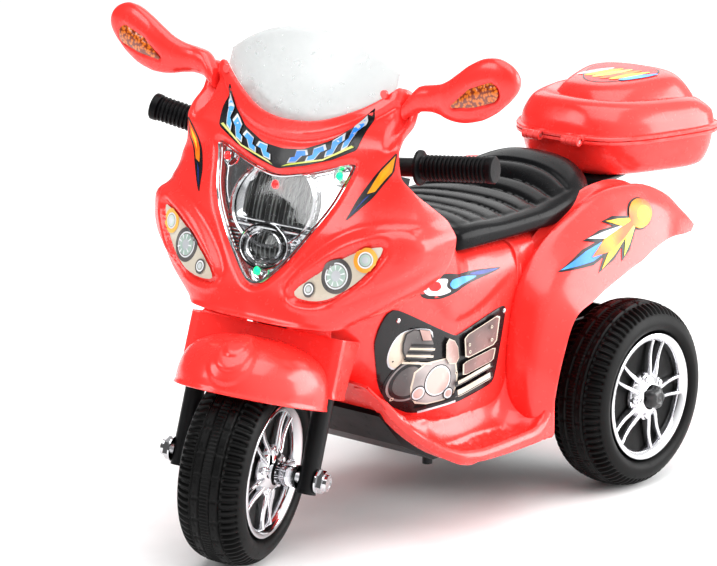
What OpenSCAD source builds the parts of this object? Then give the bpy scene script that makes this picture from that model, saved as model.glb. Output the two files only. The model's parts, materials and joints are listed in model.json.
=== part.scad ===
// Child's ride-on electric three-wheeler, styled as a sport motorcycle.
// Front is -Y, the rider's left is +X, and Z is 0 on the ground.
// Inside the modules every length along Y is measured from the front axle,
// and in_place() moves the finished piece to the middle of the vehicle.

/* [Wheels] */
// Radius of all three tyres
wheel_r = 95; // [90:1:96]
// Half width of a tyre over its shoulders
tyre_half_w = 34; // [30:1:35]
// Distance between the front and rear axles
wheelbase = 436; // [430:1:440]
// Distance from the middle plane to the middle of a rear wheel
rear_wheel_x = 123; // [122:1:126]
// Diameter of the front and rear axle rods
axle_d = 12; // [10:1:12]
// Radius of the bright hub cap in each wheel
cap_r = 62; // [58:1:63]

/* [Steering] */
// Backward lean of the steering axis, in degrees
rake = 17.35; // [15:0.05:19]
// Turn of the front wheel to the rider's left at rest, in degrees
steer_rest = 19; // [0:1:19]
// Distance from the middle plane to each fork leg
fork_x = 65; // [64:1:66]
// Diameter of a fork leg
leg_d = 19; // [16:1:19]
// Diameter of the steering column
column_d = 22; // [20:1:24]

/* [Body] */
// Wall thickness of the moulded shells
wall = 3; // [2.5:0.5:3]
// Height of the top of the body under the seat
seat_floor_z = 272; // [270:1:273]
// Half width of the two footboards
footboard_w = 134; // [130:1:136]
// Height of the treads of the footboards
tread_z = 92; // [90:1:94]

/* [Trunk] */
// Height of the seam between the trunk and its lid
rim_z = 335; // [333:1:338]
// Half width of the trunk at its front
trunk_front_w = 70; // [66:1:72]
// Half width of the trunk at its rear
trunk_rear_w = 114; // [108:1:116]
// Place of the front of the trunk behind the front axle
trunk_front_y = 476; // [474:1:478]
// Length of the trunk
trunk_len = 172; // [168:1:174]

/* [Hidden] */
$fn = 48;

running_gap = 0.08;
front_y = -275.81;
rear_axle_y = wheelbase;
tread_half_w = tyre_half_w - 20;
tread_r = wheel_r - 0.6;
// Lowest part of the leaned and turned front wheel, which sets its axle's height
tilt = sin(rake) * sin(steer_rest);
front_axle_z = tread_r * sqrt(1 - tilt * tilt) + tread_half_w * tilt;
crown_s = 126;
crown_t = 8;
bar_s = 300;
bar_t = 38;
grip_in = [99, 37, 306];
grip_out = [174, 30, 316.5];
grip_r = 11.2;
flange_r = 17;
grip_len = norm(grip_out - grip_in);
grip_dir = (grip_out - grip_in) / grip_len;
bar_bend = grip_in - 44 * grip_dir;
fender_top_s = 134;
neck_s = 149;
axle_len = 2 * fork_x + 40;
head_s0 = 152;
head_s1 = 256;
head_d = column_d + 12;
bush_len = 16;
dog_r = 15;
hinge_x = 25;
hinge_y = trunk_front_y - 7.6;
hinge_z = rim_z;
pin_d = 4;
tail_z = 286;
pedal_y = 168;
pedal_z = tread_z - 4;
tread_ribs = 6;
console_y = 178;
console_z = 341;
console_tilt = 18;
switch_x = 14;
switch_turn = 8;
pedal_x = -108;
pedal_d = 5;
button_x = 16;
pinion_teeth = 12;
big_teeth = 48;
small_teeth = 14;
output_teeth = 56;
gear_m = 1;
gear_x = -66;
first_angle = 150;
second_angle = 135;
// Centres of the reduction gear and of the motor, found from the tooth counts
reduction_dist = gear_m * (output_teeth + small_teeth) / 2 + 0.4;
pinion_dist = gear_m * (big_teeth + pinion_teeth) / 2 + 0.4;
reduction_c = [rear_axle_y + reduction_dist * cos(first_angle),
    wheel_r + reduction_dist * sin(first_angle)];
motor_c = reduction_c + pinion_dist * [cos(second_angle), sin(second_angle)];

red = [0.93, 0.10, 0.09];
black = [0.07, 0.07, 0.08];
bright = [0.78, 0.79, 0.81];
steel = [0.60, 0.61, 0.63];
clear = [0.85, 0.88, 0.90, 0.5];
amber = [0.95, 0.55, 0.10];

// ---- helpers ----
module in_place() { translate([0, front_y, 0]) children(); }
module steered() {
    in_place() translate([0, 0, front_axle_z]) rotate([-rake, 0, 0]) rotate([0, 0, steer_rest]) children();
}
module both_sides() { for (m = [0, 1]) mirror([m, 0, 0]) children(); }
module one_side(right) { mirror([right ? 1 : 0, 0, 0]) children(); }
// A rod along X, about its middle
module rod_x(d, length) rotate([0, 90, 0]) cylinder(d = d, h = length, center = true);
module tube_between(a, b, r) {
    d = b - a;
    translate(a) rotate([0, acos(d[2] / norm(d)), atan2(d[1], d[0])]) cylinder(r = r, h = norm(d));
}
function power(v, e) = sign(v) * pow(abs(v), e);
// One ring of a skin: a box with rounded corners, squarer as the exponent n grows
function box_ring(y, hw, z0, z1, n, taper = 0, steps = 28) = [for (i = [0 : steps - 1])
    let (a = 360 * i / steps, c = power(cos(a), 2 / n), s = power(sin(a), 2 / n))
    [hw * c * (1 + taper * s), y, (z0 + z1) / 2 + (z1 - z0) / 2 * s]];
module skin(rings) {
    n = len(rings[0]);
    m = len(rings);
    sides = [for (i = [0 : m - 2], j = [0 : n - 1]) let (k = (j + 1) % n)
        each [[i * n + j, i * n + k, (i + 1) * n + k], [i * n + j, (i + 1) * n + k, (i + 1) * n + j]]];
    polyhedron(points = [for (r = rings) each r],
        faces = concat(sides, [[for (j = [n - 1 : -1 : 0]) j]], [[for (j = [0 : n - 1]) (m - 1) * n + j]]));
}
// The same for rings that lie level and are listed from the lowest up
module stack(rings) skin([for (i = [len(rings) - 1 : -1 : 0]) rings[i]]);

// ---- body ----
// Each body station is [y, half width, bottom, top, squareness, taper]
body_rings = [
    [62, 62, 200, 318, 3, 0.16], [90, 72, 166, 332, 3, 0.22], [130, 82, 116, 338, 3.4, 0.20],
    [170, 86, 84, 330, 4, 0.12], [198, 88, 75, 314, 5, 0.05], [208, 88, 74, seat_floor_z, 6, 0],
    [250, 88, 72, seat_floor_z, 7, 0], [306, 88, 76, seat_floor_z, 7, 0],
    [312, 86, 178, seat_floor_z, 6, 0], [400, 84, 182, seat_floor_z, 6, 0],
    [462, 84, 186, seat_floor_z, 6, 0], [468, 84, 187, tail_z, 5, 0],
    [502, 76, 205, tail_z, 4, 0], [530, 60, 232, tail_z - 12, 3, 0]];
tank_rings = [
    [70, 60, 240, 340, 2.6, 0], [120, 68, 240, 346, 2.6, 0], [165, 66, 240, 344, 2.6, 0],
    [200, 60, 240, 334, 2.6, 0], [228, 46, 240, 317, 2.4, 0], [246, 30, 240, 298, 2.2, 0]];
board_rings = [
    [98, 74, 130, 150, 4, 0], [122, 90, 108, 130, 4, 0], [150, 114, 88, 108, 4, 0],
    [178, footboard_w - 6, 78, tread_z + 3, 5, 0], [220, footboard_w - 1, 76, tread_z, 6, 0],
    [270, footboard_w, 76, tread_z, 6, 0], [304, footboard_w - 1, 78, tread_z + 2, 6, 0]];
module run(stations, in = 0, drop = 0, back = 0) {
    last = len(stations) - 1;
    skin([for (i = [0 : last]) let (s = stations[i])
        box_ring(s[0] + (i == 0 ? in : i == last ? -in : -back * in), s[1] - in,
            s[2] - drop, s[3] - in, s[4], s[5])]);
}
// Fender stations around the rear axle: [angle, ridge radius, ridge x, edge radius, edge x]
fender = [
    [184, 150, 94, 136, 132], [168, 158, 93, 138, 137], [152, 172, 93, 142, 139],
    [137, 190, 93, 143, 140], [124, 198, 97, 132, 141], [107, 201, 103, 127, 141],
    [92, 210, 111, 128, 140], [80, 208, 114, 138, 138], [69, 202, 114, 154, 134], [60, 190, 112, 182, 124]];
fender_inner_x = 82;
// Points across a fender station, from its inner side over the ridge to its edge: [radius, x]
function fender_line(s) = [[s[1], fender_inner_x], [s[1], s[2]],
    [(s[1] + s[3]) / 2 + 8, (s[2] + s[4]) / 2 + 4], [s[3], s[4]]];
module bead(angle, at) translate([at[1], rear_axle_y, wheel_r])
    rotate([angle, 0, 0]) translate([0, at[0], 0]) cube(wall, center = true);
module fender_strip(i) for (k = [0 : 2])
    hull() for (s = [fender[i], fender[i + 1]], q = [k, k + 1]) bead(s[0], fender_line(s)[q]);
// Outline of the printed engine panel: [y, z]
engine_outline = [[116, 196], [124, 218], [141, 228], [158, 224], [208, 195], [282, 213],
    [255, 138], [160, 125], [132, 146], [118, 172]];
module body_shell() color(red) in_place() {
    difference() {
        union() {
            run(body_rings);
            run(tank_rings);
            run(board_rings);
            both_sides() for (i = [0 : tread_ribs - 1])
                translate([94 + 6 * i, 166, tread_z - 4]) cube([3, 124, 5.5]);
        }
        run(body_rings, in = wall, drop = 12, back = 1);
        run(tank_rings, in = wall, drop = 30);
        run(board_rings, in = wall, drop = 12);
        translate([pedal_x - 22, pedal_y - 4, tread_z - 12]) cube([44, 76, 40]);
        console_place() translate([-32.3, -24.3, -30]) cube([64.6, 48.6, 60]);
        pan_slab(136.8, 0.4);
        // room for the steering head and the column above it
        translate([0, 0, front_axle_z]) rotate([-rake, 0, 0]) {
            translate([0, 0, head_s0 - 60]) cylinder(d = head_d + 0.6, h = head_s1 - head_s0 + 62);
            translate([0, 0, head_s1]) cylinder(r = 24, h = 60);
        }
    }
    difference() {
        both_sides() for (i = [0 : len(fender) - 2]) fender_strip(i);
        skin([for (s = seat_rings) seat_ring(s, 0.4)]);
    }
    // well that carries the accelerator's pivot
    difference() {
        translate([pedal_x - 25, pedal_y - 7, tread_z - 15]) cube([50, 82, 14]);
        translate([pedal_x - 22, pedal_y - 4, tread_z - 12]) cube([44, 76, 40]);
        translate([pedal_x, pedal_y, pedal_z]) rod_x(pedal_d + 2 * running_gap, 60);
    }
}

block_y0 = 336;
block_y1 = 476;
block_z0 = 58;
block_z1 = 168;
// Side view of the pan under the body: [y, z]
pan_side = [[114, 130], [150, 92], [196, 68], [340, 64], [340, 84], [200, 84], [160, 108], [122, 142]];
module pan_slab(w, g)
    rotate([90, 0, 90]) linear_extrude(w, center = true) offset(delta = g) polygon(pan_side);
module chassis_pan() color(black) in_place() {
    difference() {
        union() {
            pan_slab(136, 0);
            translate([-82, block_y0, block_z0]) cube([164, block_y1 - block_y0, block_z1 - block_z0]);
            translate([82, rear_axle_y, wheel_r]) rotate([0, 90, 0]) cylinder(r = 13, h = 6.4);
        }
        translate([-64, 200, 70]) cube([128, 150, 60]);
        translate([-78, block_y0 + 3, block_z0 + 3]) cube([156, block_y1 - block_y0 - 6, 130]);
        translate([0, rear_axle_y, wheel_r]) rod_x(axle_d + 0.1, 200);
        translate([-90, rear_axle_y, wheel_r]) rotate([0, 90, 0]) cylinder(r = dog_r + 4.5, h = 14);
    }
    translate([46, 214, 56]) cylinder(r = 5, h = 14);
}

// ---- seat ----
// Seat stations: [y, half width, top, squareness]
seat_rings = [
    [209, 78, 293, 3.2], [214, 84, 301, 3.2], [240, 87, 304, 3], [290, 88, 300, 3], [340, 88, 301, 3],
    [380, 87, 309, 2.8], [412, 82, 321, 2.6], [440, 70, 327, 2.6], [460, 52, 320, 2.4]];
seat_edge = 12;
seat_screw_y = 436;
seat_screw_z = 314;
function seat_ring(s, g = 0, steps = 36) = [for (i = [0 : steps - 1])
    let (a = 360 * i / steps, up = sin(a) > 0, t = power(sin(a), up ? 2 / s[3] : 0.25),
        reach = up ? s[2] - seat_floor_z - seat_edge : seat_edge - 0.5)
    [(s[1] + g) * power(cos(a), 2 / s[3]), s[0], seat_floor_z + seat_edge + (reach + g) * t]];
module seat() color(black) in_place() difference() {
    skin([for (s = seat_rings) seat_ring(s)]);
    skin([for (s = tank_rings) box_ring(s[0] + 1, s[1] + 1, s[2], s[3] + 1, s[4])]);
    translate([0, seat_screw_y, seat_floor_z - 1]) cylinder(r = 3.2, h = 80);
    translate([0, seat_screw_y, seat_screw_z]) cylinder(r = 6, h = 20);
}
module seat_screw() color(steel) in_place() translate([0, seat_screw_y, 0]) difference() {
    union() {
        translate([0, 0, seat_floor_z + 0.2]) cylinder(r = 2.6, h = 42);
        translate([0, 0, seat_screw_z]) cylinder(r = 5, h = 3);
    }
    translate([-4, -0.6, seat_screw_z + 2]) cube([8, 1.2, 2]);
}

// ---- cowl ----
// Cowl stations: [z, front y, rear edge y, half width, squareness]
cowl = [
    [238, 2, 42, 96, 2.8], [250, 6, 66, 118, 3], [262, 9, 80, 134, 3.2], [276, 14, 92, 150, 3.4],
    [292, 20, 101, 162, 3.7], [308, 25, 105, 168, 4], [322, 29, 106, 170, 4], [336, 34, 103, 163, 3.4],
    [350, 39, 90, 155, 2.6], [366, 45, 74, 144, 1.9], [382, 51, 67, 133, 1.5], [402, 60, 66, 131, 1.6],
    [414, 67, 72, 131, 1.6], [428, 76, 90, 132, 1.6], [452, 90, 99, 132, 1.8]];
cowl_steps = 24;
function cowl_angle(i) = 89.5 * (2 * i / cowl_steps - 1);
function cowl_point(s, a) =
    [s[3] * power(sin(a), 2 / s[4]), s[2] - (s[2] - s[1]) * pow(cos(a), 2 / s[4]), s[0]];
// The shell is a little thicker towards its rear edges
function cowl_ring(s) = concat([for (i = [0 : cowl_steps]) cowl_point(s, cowl_angle(i))],
    [for (i = [cowl_steps : -1 : 0]) let (a = cowl_angle(i)) cowl_point(s, a)
        + [-power(sin(a), 3) * wall, wall + 2 * abs(i / cowl_steps - 0.5), 0]]);
// A layer of the cowl's front between two depths, over some of its stations, edge steps in from its sides
module cowl_layer(stations, edge, y0, y1) stack([for (k = stations) concat(
    [for (i = [edge : cowl_steps - edge]) cowl_point(cowl[k], cowl_angle(i)) + [0, y0, 0]],
    [for (i = [cowl_steps - edge : -1 : edge]) cowl_point(cowl[k], cowl_angle(i)) + [0, y1, 0]])]);
// The outer skin's y at a point of the cowl
function cowl_at(z, k) = lookup(z, [for (c = cowl) [c[0], c[k]]]);
function cowl_y(x, z) = let (n = cowl_at(z, 4), u = pow(min(1, abs(x) / cowl_at(z, 3)), n / 2))
    cowl_at(z, 2) - (cowl_at(z, 2) - cowl_at(z, 1)) * pow(sqrt(1 - u * u), 2 / n);
rim_low_z = 412;
rim_rise = 44;
rim_w = 112;
rim_step = 16;
function rim_z_at(x) = rim_low_z + rim_rise * pow(abs(x) / rim_w, 2.2);
// Outline of the headlight, half of it: [x, z]
lens_half = [[0, 268], [40, 300], [72, 345], [86, 386], [70, 384], [40, 374], [0, 366]];
function mirrored(half) = concat(half, [for (i = [len(half) - 2 : -1 : 1]) [-half[i][0], half[i][1]]]);
function grown(half, g) = [for (p = half) [p[0] + (p[0] == 0 ? 0 : g), p[1] + (p[1] > 360 ? g : -g)]];
module through_y(y0, y1) { translate([0, y1, 0]) rotate([90, 0, 0]) linear_extrude(y1 - y0) children(); }
module through_cowl() through_y(-20, 140) children();
lamp_outline = [[53, 267], [76, 264], [100, 272], [124, 292], [141, 322], [126, 320], [106, 310], [80, 290]];
module above_rim(g, from_z = 500) {
    rim = [for (x = [-rim_w : rim_step : rim_w]) [x, rim_z_at(x) + g]];
    through_cowl() polygon(concat(rim, [[rim_w, from_z], [-rim_w, from_z]]));
}
// Outline of the wall behind the side pod: [x, z]
pod_wall = [[73, 258], [124, 258], [148, 276], [164, 300], [167, 320], [158, 338], [140, 352], [73, 352]];
module front_cowl() color(red) in_place() {
    difference() {
        stack([for (s = cowl) cowl_ring(s)]);
        above_rim(0);
        through_cowl() polygon(mirrored(lens_half));
    }
    // rolled edge under the windshield
    for (x = [-rim_w : rim_step : rim_w - rim_step]) hull() for (p = [x, x + rim_step])
        translate([p, cowl_y(p, rim_z_at(p)) + 1, rim_z_at(p)]) sphere(r = 5, $fn = 10);
    both_sides() {
        hull() {
            translate([122, 94, 432]) sphere(r = 10, $fn = 16);
            translate([132, 97, 450]) sphere(r = 9, $fn = 16);
        }
        // this wall carries the cowl on the body
        difference() {
            through_y(74, 77) polygon(pod_wall);
            translate([60, 60, 340]) cube([40, 30, 20]);
        }
    }
}
module cowl_inner_panel() color(black) in_place() difference() {
    hull() both_sides() {
        translate([82, 106, 436]) sphere(r = 3, $fn = 12);
        translate([100, 92, 414]) sphere(r = 3, $fn = 12);
        translate([70, 84, 402]) sphere(r = 3, $fn = 12);
    }
    above_rim(4);
}
shield_w = 104;
shield_t = 2.5;
shield_top_z = 501;
shield_gap = 6.5;
// Section of the windshield at u, which runs from -1 to 1 across it
function shield_ring(u) = let (x = shield_w * u, low = rim_z_at(x) + shield_gap,
    y0 = cowl_y(x, rim_z_at(x)) + 1, y1 = 97 + 4 * u * u,
    top = max(shield_top_z - 32 * pow(abs(u), 2.2), low + 2))
    [[x, y0, low], [x, y0 + shield_t, low], [x, y1 + shield_t, top], [x, y1, top]];
module windshield() color(clear) in_place() skin([for (i = [-8 : 8]) shield_ring(i / 8)]);
shield_screw = [98, 450];
module windshield_screws() color(steel) in_place() both_sides()
    translate([shield_screw[0], cowl_y(shield_screw[0], shield_screw[1]) - 5.4, shield_screw[1]])
        rotate([90, 0, 0]) cylinder(r = 4, h = 2.5);

module lens_slab(half, depth, set_back) intersection() {
    through_cowl() polygon(mirrored(half));
    cowl_layer([1 : 10], 2, set_back, set_back + depth);
}
module headlight_lens() color(clear) in_place() lens_slab(grown(lens_half, -0.6), 2.5, 0.2);
module headlight_reflector() color(bright) in_place() difference() {
    lens_slab(grown(lens_half, -1.5), 12, 5);
    translate([0, 20, 336]) rotate([75, 0, 0]) cylinder(r = 24, h = 30, center = true);
    translate([0, 6, 300]) rotate([75, 0, 0]) cylinder(r = 15, h = 30, center = true);
}
module headlight_leds() color(amber) in_place() for (p = [[-70, 374], [70, 374], [0, 358], [0, 282]])
    translate([p[0], cowl_y(p[0], p[1]) + 14, p[1]]) rotate([90, 0, 0]) cylinder(r = 2.5, h = 10);
module lamp_plate() intersection() {
    through_cowl() polygon(lamp_outline);
    cowl_layer([1 : 8], 0, -1.6, -0.3);
}
module side_lamp_left() color(amber) in_place() lamp_plate();
module side_lamp_right() color(amber) in_place() one_side(true) lamp_plate();

// ---- mirrors ----
mirror_y = 91;
// Balls of the mirror's arm and head: [x, y, z, radius]
mirror_body = [[146, 97, 450, 10], [168, 93, 457, 14], [195, 91, 468, 26], [217, 91, 476, 27],
    [231, 93, 481, 21]];
module mirror_side() difference() {
    for (i = [0 : len(mirror_body) - 2]) hull() for (p = [mirror_body[i], mirror_body[i + 1]])
        translate([p[0], p[1], p[2]]) rotate([90, 0, 0]) {
            cylinder(r = p[3], h = 8, center = true, $fn = 32);
            cylinder(r = p[3] - 5, h = 18, center = true, $fn = 32);
        }
    through_y(mirror_y - 12, mirror_y - 7) mirror_patch(0.4);
    through_y(mirror_y + 7, mirror_y + 12) glass_patch(0.4);
}
module mirror_patch(g) hull() {
    translate([182, 456]) circle(r = 1.5 + g, $fn = 16);
    translate([203, 466]) circle(r = 12 + g);
    translate([220, 471]) circle(r = 12 + g);
}
module glass_patch(g) hull() {
    translate([197, 468]) circle(r = 17 + g);
    translate([221, 477]) circle(r = 15 + g);
}
module mirror_left() color(red) in_place() mirror_side();
module mirror_right() color(red) in_place() one_side(true) mirror_side();
module reflector_side() through_y(mirror_y - 10, mirror_y - 7.1) mirror_patch(0);
module mirror_reflector_left() color(amber) in_place() reflector_side();
module mirror_reflector_right() color(amber) in_place() one_side(true) reflector_side();
module glass_side() through_y(mirror_y + 7.1, mirror_y + 8.6) glass_patch(0);
module mirror_glass_left() color(bright) in_place() glass_side();
module mirror_glass_right() color(bright) in_place() one_side(true) glass_side();

// ---- steering ----
module on_axis() in_place() translate([0, 0, front_axle_z]) rotate([-rake, 0, 0]) children();
module steering_head() color(black) {
    on_axis() difference() {
        translate([0, 0, head_s0]) cylinder(d = head_d, h = head_s1 - head_s0);
        translate([0, 0, head_s0 - 1]) cylinder(d = column_d + 1.5, h = head_s1 - head_s0 + 2);
        for (s = [head_s0 - 1, head_s1 - bush_len])
            translate([0, 0, s]) cylinder(d = column_d + 6, h = bush_len + 1);
    }
}
module steering_bushes() color(bright) on_axis() for (s = [head_s0, head_s1 - bush_len])
    translate([0, 0, s]) difference() {
        cylinder(d = column_d + 5.9, h = bush_len);
        translate([0, 0, -1]) cylinder(d = column_d + 2 * running_gap, h = bush_len + 2);
    }
module fork() color(black) steered() difference() {
    union() {
        both_sides() translate([fork_x, 0, -14]) cylinder(d = leg_d, h = crown_s + 14);
        translate([-fork_x - 9, -12, crown_s - crown_t]) cube([2 * fork_x + 18, 24, crown_t]);
        translate([0, 0, crown_s - crown_t]) cylinder(d = column_d, h = bar_s - 12 - crown_s + crown_t);
        translate([0, 0, crown_s]) cylinder(d = column_d + 8, h = 25);
        hull() {
            translate([0, 0, bar_s - 18]) cylinder(d = 20, h = 10);
            translate([-11, bar_t - 12, bar_s - 18]) cube([22, 16, 8.9]);
        }
    }
    rod_x(axle_d + 0.1, axle_len);
}
// Flat plate behind the dome: half width, place in front of the axis and lowest place along it
plate_w = 80;
plate_t = -17;
plate_s = 78;
module front_fender() color(red) steered() {
    difference() {
        union() {
            hull() {
                translate([0, -14, 66]) half_dome(79.5, 82, 30);
                translate([0, -12, 96]) half_dome(73, 66, 26);
            }
            translate([-plate_w, plate_t, plate_s]) cube([2 * plate_w, 3.5, fender_top_s - plate_s]);
            both_sides() translate([plate_w - wall, plate_t, plate_s])
                cube([wall, 30, fender_top_s - plate_s]);
            for (i = [0 : 5]) translate([0, -44 - 6 * i, 118 - 3 * i]) rotate([62, 0, 0])
                hull() both_sides() translate([3 + 2 * i, 0, 0]) sphere(r = 5, $fn = 12);
        }
        hull() {
            translate([0, -12, 60]) half_dome(76.4, 79, 30);
            translate([0, -10, 94]) half_dome(69, 62, 24);
        }
        translate([-76, -12.5, 40]) cube([152, 60, 200]);
        translate([-120, -120, 0]) cube([240, 240, 66]);
    }
    // neck that leans back on each side of the column and goes up behind the cowl
    both_sides() hull() {
        translate([20, plate_t, fender_top_s - 1]) cube([plate_w - 34, 3.5, 1]);
        translate([20, plate_t + 12, neck_s - 1]) cube([38, 3.5, 1]);
    }
}
// Front half of a dome: half width, reach forward and height
module half_dome(hw, reach, h) stack([for (i = [0 : 6]) let (a = 13 * i) [for (j = [0 : 17])
    let (b = 180 + 180 * j / 17) [hw * cos(a) * cos(b), reach * cos(a) * sin(b), h * sin(a)]]]);
module front_axle() color(steel) steered() rod_x(axle_d, axle_len);
module front_axle_nuts() color(bright) steered() both_sides()
    translate([fork_x + leg_d / 2 + 0.05, 0, 0]) rotate([0, 90, 0]) difference() {
        union() {
            cylinder(r = 11, h = 7, $fn = 6);
            cylinder(r = 12, h = 1.5);
            translate([0, 0, 7]) cylinder(r = 8, h = 4);
        }
        translate([0, 0, -1]) cylinder(d = axle_d, h = 20);
    }
module front_spacers() color(bright) steered() both_sides()
    translate([tyre_half_w + 0.5, 0, 0]) rotate([0, 90, 0]) difference() {
        cylinder(r = 11, h = fork_x - leg_d / 2 - tyre_half_w - 0.8);
        translate([0, 0, -1]) cylinder(d = axle_d + 0.1, h = 40);
    }

// ---- wheels, drawn about the X axis ----
// Half of the tyre's section, from the cap's seat to the crown: [radius, x]
tyre_half = [[66, 20], [66, tyre_half_w - 3], [74, tyre_half_w], [83, tyre_half_w - 2.5],
    [90.5, tyre_half_w - 8], [tread_r, tread_half_w], [wheel_r, 5]];
hub_r = 18;
wheel_half = concat([[axle_d / 2 + running_gap, tyre_half_w], [hub_r, tyre_half_w], [hub_r, 20]], tyre_half);
hollow_half = [[21, 17], [63, 17], [69, 28], [80, 28], [88, 22], [91, 12]];
function both_halves(half) =
    concat([for (q = half) [q[0], -q[1]]], [for (i = [len(half) - 1 : -1 : 0]) half[i]]);
groove_x = 10;
module wheel_solid() rotate([0, 90, 0]) difference() {
    rotate_extrude($fn = 96) difference() {
        polygon(both_halves(wheel_half));
        polygon(both_halves(hollow_half));
    }
    for (x = [-groove_x, groove_x]) translate([0, 0, x])
        rotate_extrude($fn = 96) translate([wheel_r - 2, -1.2]) square([4, 2.4]);
}
cap_x = 20.3;
spokes = 5;
module cap_solid() rotate([0, 90, 0]) {
    rotate_extrude($fn = 96)
        polygon([[52, cap_x], [cap_r, cap_x], [cap_r + 2.5, 29], [cap_r + 1, 32], [cap_r - 4, 30], [54, 25]]);
    rotate_extrude() polygon([[hub_r + 0.3, cap_x], [24, cap_x], [24, 27], [hub_r + 0.3, 30]]);
    for (i = [0 : spokes - 1]) rotate(360 / spokes * i) {
        for (turn = [-8, 8]) rotate(turn) translate([22, -3, cap_x]) cube([33, 6, 5.7]);
        rotate(180 / spokes) translate([22, 0, 26]) cylinder(r = 2.5, h = 4, $fn = 6);
    }
}
module front_tyre() color(black) steered() wheel_solid();
module front_cap_left() color(bright) steered() cap_solid();
module front_cap_right() color(bright) steered() one_side(true) cap_solid();
module at_rear(right) in_place()
    translate([(right ? -1 : 1) * rear_wheel_x, rear_axle_y, wheel_r]) children();
module rear_left_tyre() color(black) at_rear(false) wheel_solid();
module rear_right_tyre() color(black) at_rear(true) difference() {
    wheel_solid();
    translate([tyre_half_w - 6, 0, 0]) rotate([90, 0, 90]) drive_dog(0.3);
}
module rear_left_cap() color(bright) at_rear(false) cap_solid();
module rear_right_cap() color(bright) at_rear(true) one_side(true) cap_solid();
module rear_axle() color(steel) in_place() translate([0, rear_axle_y, wheel_r])
    rod_x(axle_d, 2 * (rear_wheel_x + tyre_half_w) + 16);
module rear_axle_nuts() color(bright) in_place() translate([0, rear_axle_y, wheel_r])
    both_sides() translate([rear_wheel_x + tyre_half_w + 0.4, 0, 0]) rotate([0, 90, 0]) difference() {
        union() { cylinder(r = 11, h = 1.5); cylinder(r = 8.5, h = 6, $fn = 6); }
        translate([0, 0, -1]) cylinder(d = axle_d, h = 10);
    }

// ---- handlebar, in the steered frame ----
bar_r = 9;
module handlebar() color(black) steered() {
    translate([-42, bar_t, bar_s]) rotate([0, 90, 0]) cylinder(r = bar_r, h = 84);
    both_sides() {
        tube_between([41, bar_t, bar_s], bar_bend + [1, 0, 0], bar_r - 0.1);
        tube_between(bar_bend - grip_dir, grip_out - grip_dir, bar_r);
    }
}
module grip_side() {
    translate(grip_in) rotate([0, acos(grip_dir[2]), atan2(grip_dir[1], grip_dir[0])]) difference() {
        union() {
            cylinder(r = grip_r, h = grip_len + 3);
            cylinder(r = flange_r, h = 4);
            for (i = [0 : 12]) translate([0, 0, 7 + i * 5]) cylinder(r = grip_r + 1.2, h = 2.5);
            translate([0, 0, grip_len - 2]) cylinder(r = grip_r + 2, h = 5);
        }
        translate([0, 0, -1]) cylinder(r = bar_r + 0.05, h = grip_len);
    }
}
module grip_left() color(black) steered() grip_side();
module grip_right() color(black) steered() one_side(true) grip_side();
module handlebar_cover() color(red) steered() difference() {
    hull() for (x = [-34, 34], t = [bar_t - 4, bar_t + 6])
        translate([x, t, bar_s + 4]) cylinder(r = 10, h = 16, $fn = 32);
    translate([0, bar_t, bar_s]) rod_x(2 * bar_r + 0.1, 120);
    for (x = [-button_x, button_x]) translate([x, bar_t, bar_s + 10]) cylinder(r = 8.4, h = 20);
}
module button_cap(x) steered() translate([x, bar_t, bar_s + 14]) {
    cylinder(r = 7.8, h = 9);
    cylinder(r = 8, h = 1);
}
module horn_button() color([0.95, 0.75, 0.1]) button_cap(-button_x);
module music_button() color([0.1, 0.35, 0.85]) button_cap(button_x);

// ---- engine panels ----
panel_in = 0.2;
panel_out = 2.2;
module engine_plate(right) intersection() {
    one_side(right) rotate([90, 0, 90]) linear_extrude(140) polygon(engine_outline);
    difference() {
        skin([for (s = body_rings) box_ring(s[0], s[1] + panel_out, s[2], s[3], s[4], s[5])]);
        skin([for (s = body_rings) let (front = s == body_rings[0] ? 1 : 0)
            box_ring(s[0] - front, s[1] + panel_in, s[2] - 5, s[3] + 5, s[4], s[5])]);
    }
}
module engine_panel_left() color(black) in_place() engine_plate(false);
module engine_panel_right() color(black) in_place() engine_plate(true);
module engine_panel_rivets() color(bright) in_place() both_sides() {
    translate([77, 120, 226]) rotate([0, 90, 0]) cylinder(r = 2.4, h = 18);
    translate([84, 281, 214]) rotate([0, 90, 0]) cylinder(r = 2.4, h = 9);
}

// ---- power ----
module battery() color([0.25, 0.25, 0.28]) in_place() {
    translate([-50, 222, 72.5]) cube([100, 70, 100]);
    for (x = [-30, 30]) translate([x, 280, 172]) cube([6, 1, 7]);
}
module battery_strap() color(black) in_place() difference() {
    translate([-56, 250, 71]) cube([112, 14, 105]);
    translate([-52, 249, 60]) cube([104, 16, 113.3]);
}
// Turn that puts a gear of n2 teeth in mesh with one of n1 that it meets at this angle
function mesh_turn(angle, n1, n2) = angle + 180 - 180 / n2 + angle * n1 / n2;
module gear(teeth, h, bore) difference() {
    union() {
        cylinder(r = gear_m * (teeth / 2 - 1.1), h = h);
        for (i = [0 : teeth - 1]) rotate(360 * i / teeth) linear_extrude(h)
            polygon([[gear_m * (teeth / 2 - 1.3), -0.75], [gear_m * (teeth / 2 + 0.75), -0.35],
                [gear_m * (teeth / 2 + 0.75), 0.35], [gear_m * (teeth / 2 - 1.3), 0.75]]);
    }
    translate([0, 0, -1]) cylinder(d = bore, h = h + 2);
}
module along_x(x, c) in_place() translate([x, c[0], c[1]]) rotate([90, 0, 90]) children();
module drive_dog(g) {
    cylinder(r = dog_r - 3 + g, h = 14);
    for (i = [0 : 2]) rotate(120 * i) translate([-3 - g, 0, 0]) cube([6 + 2 * g, dog_r + g, 14]);
}
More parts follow.
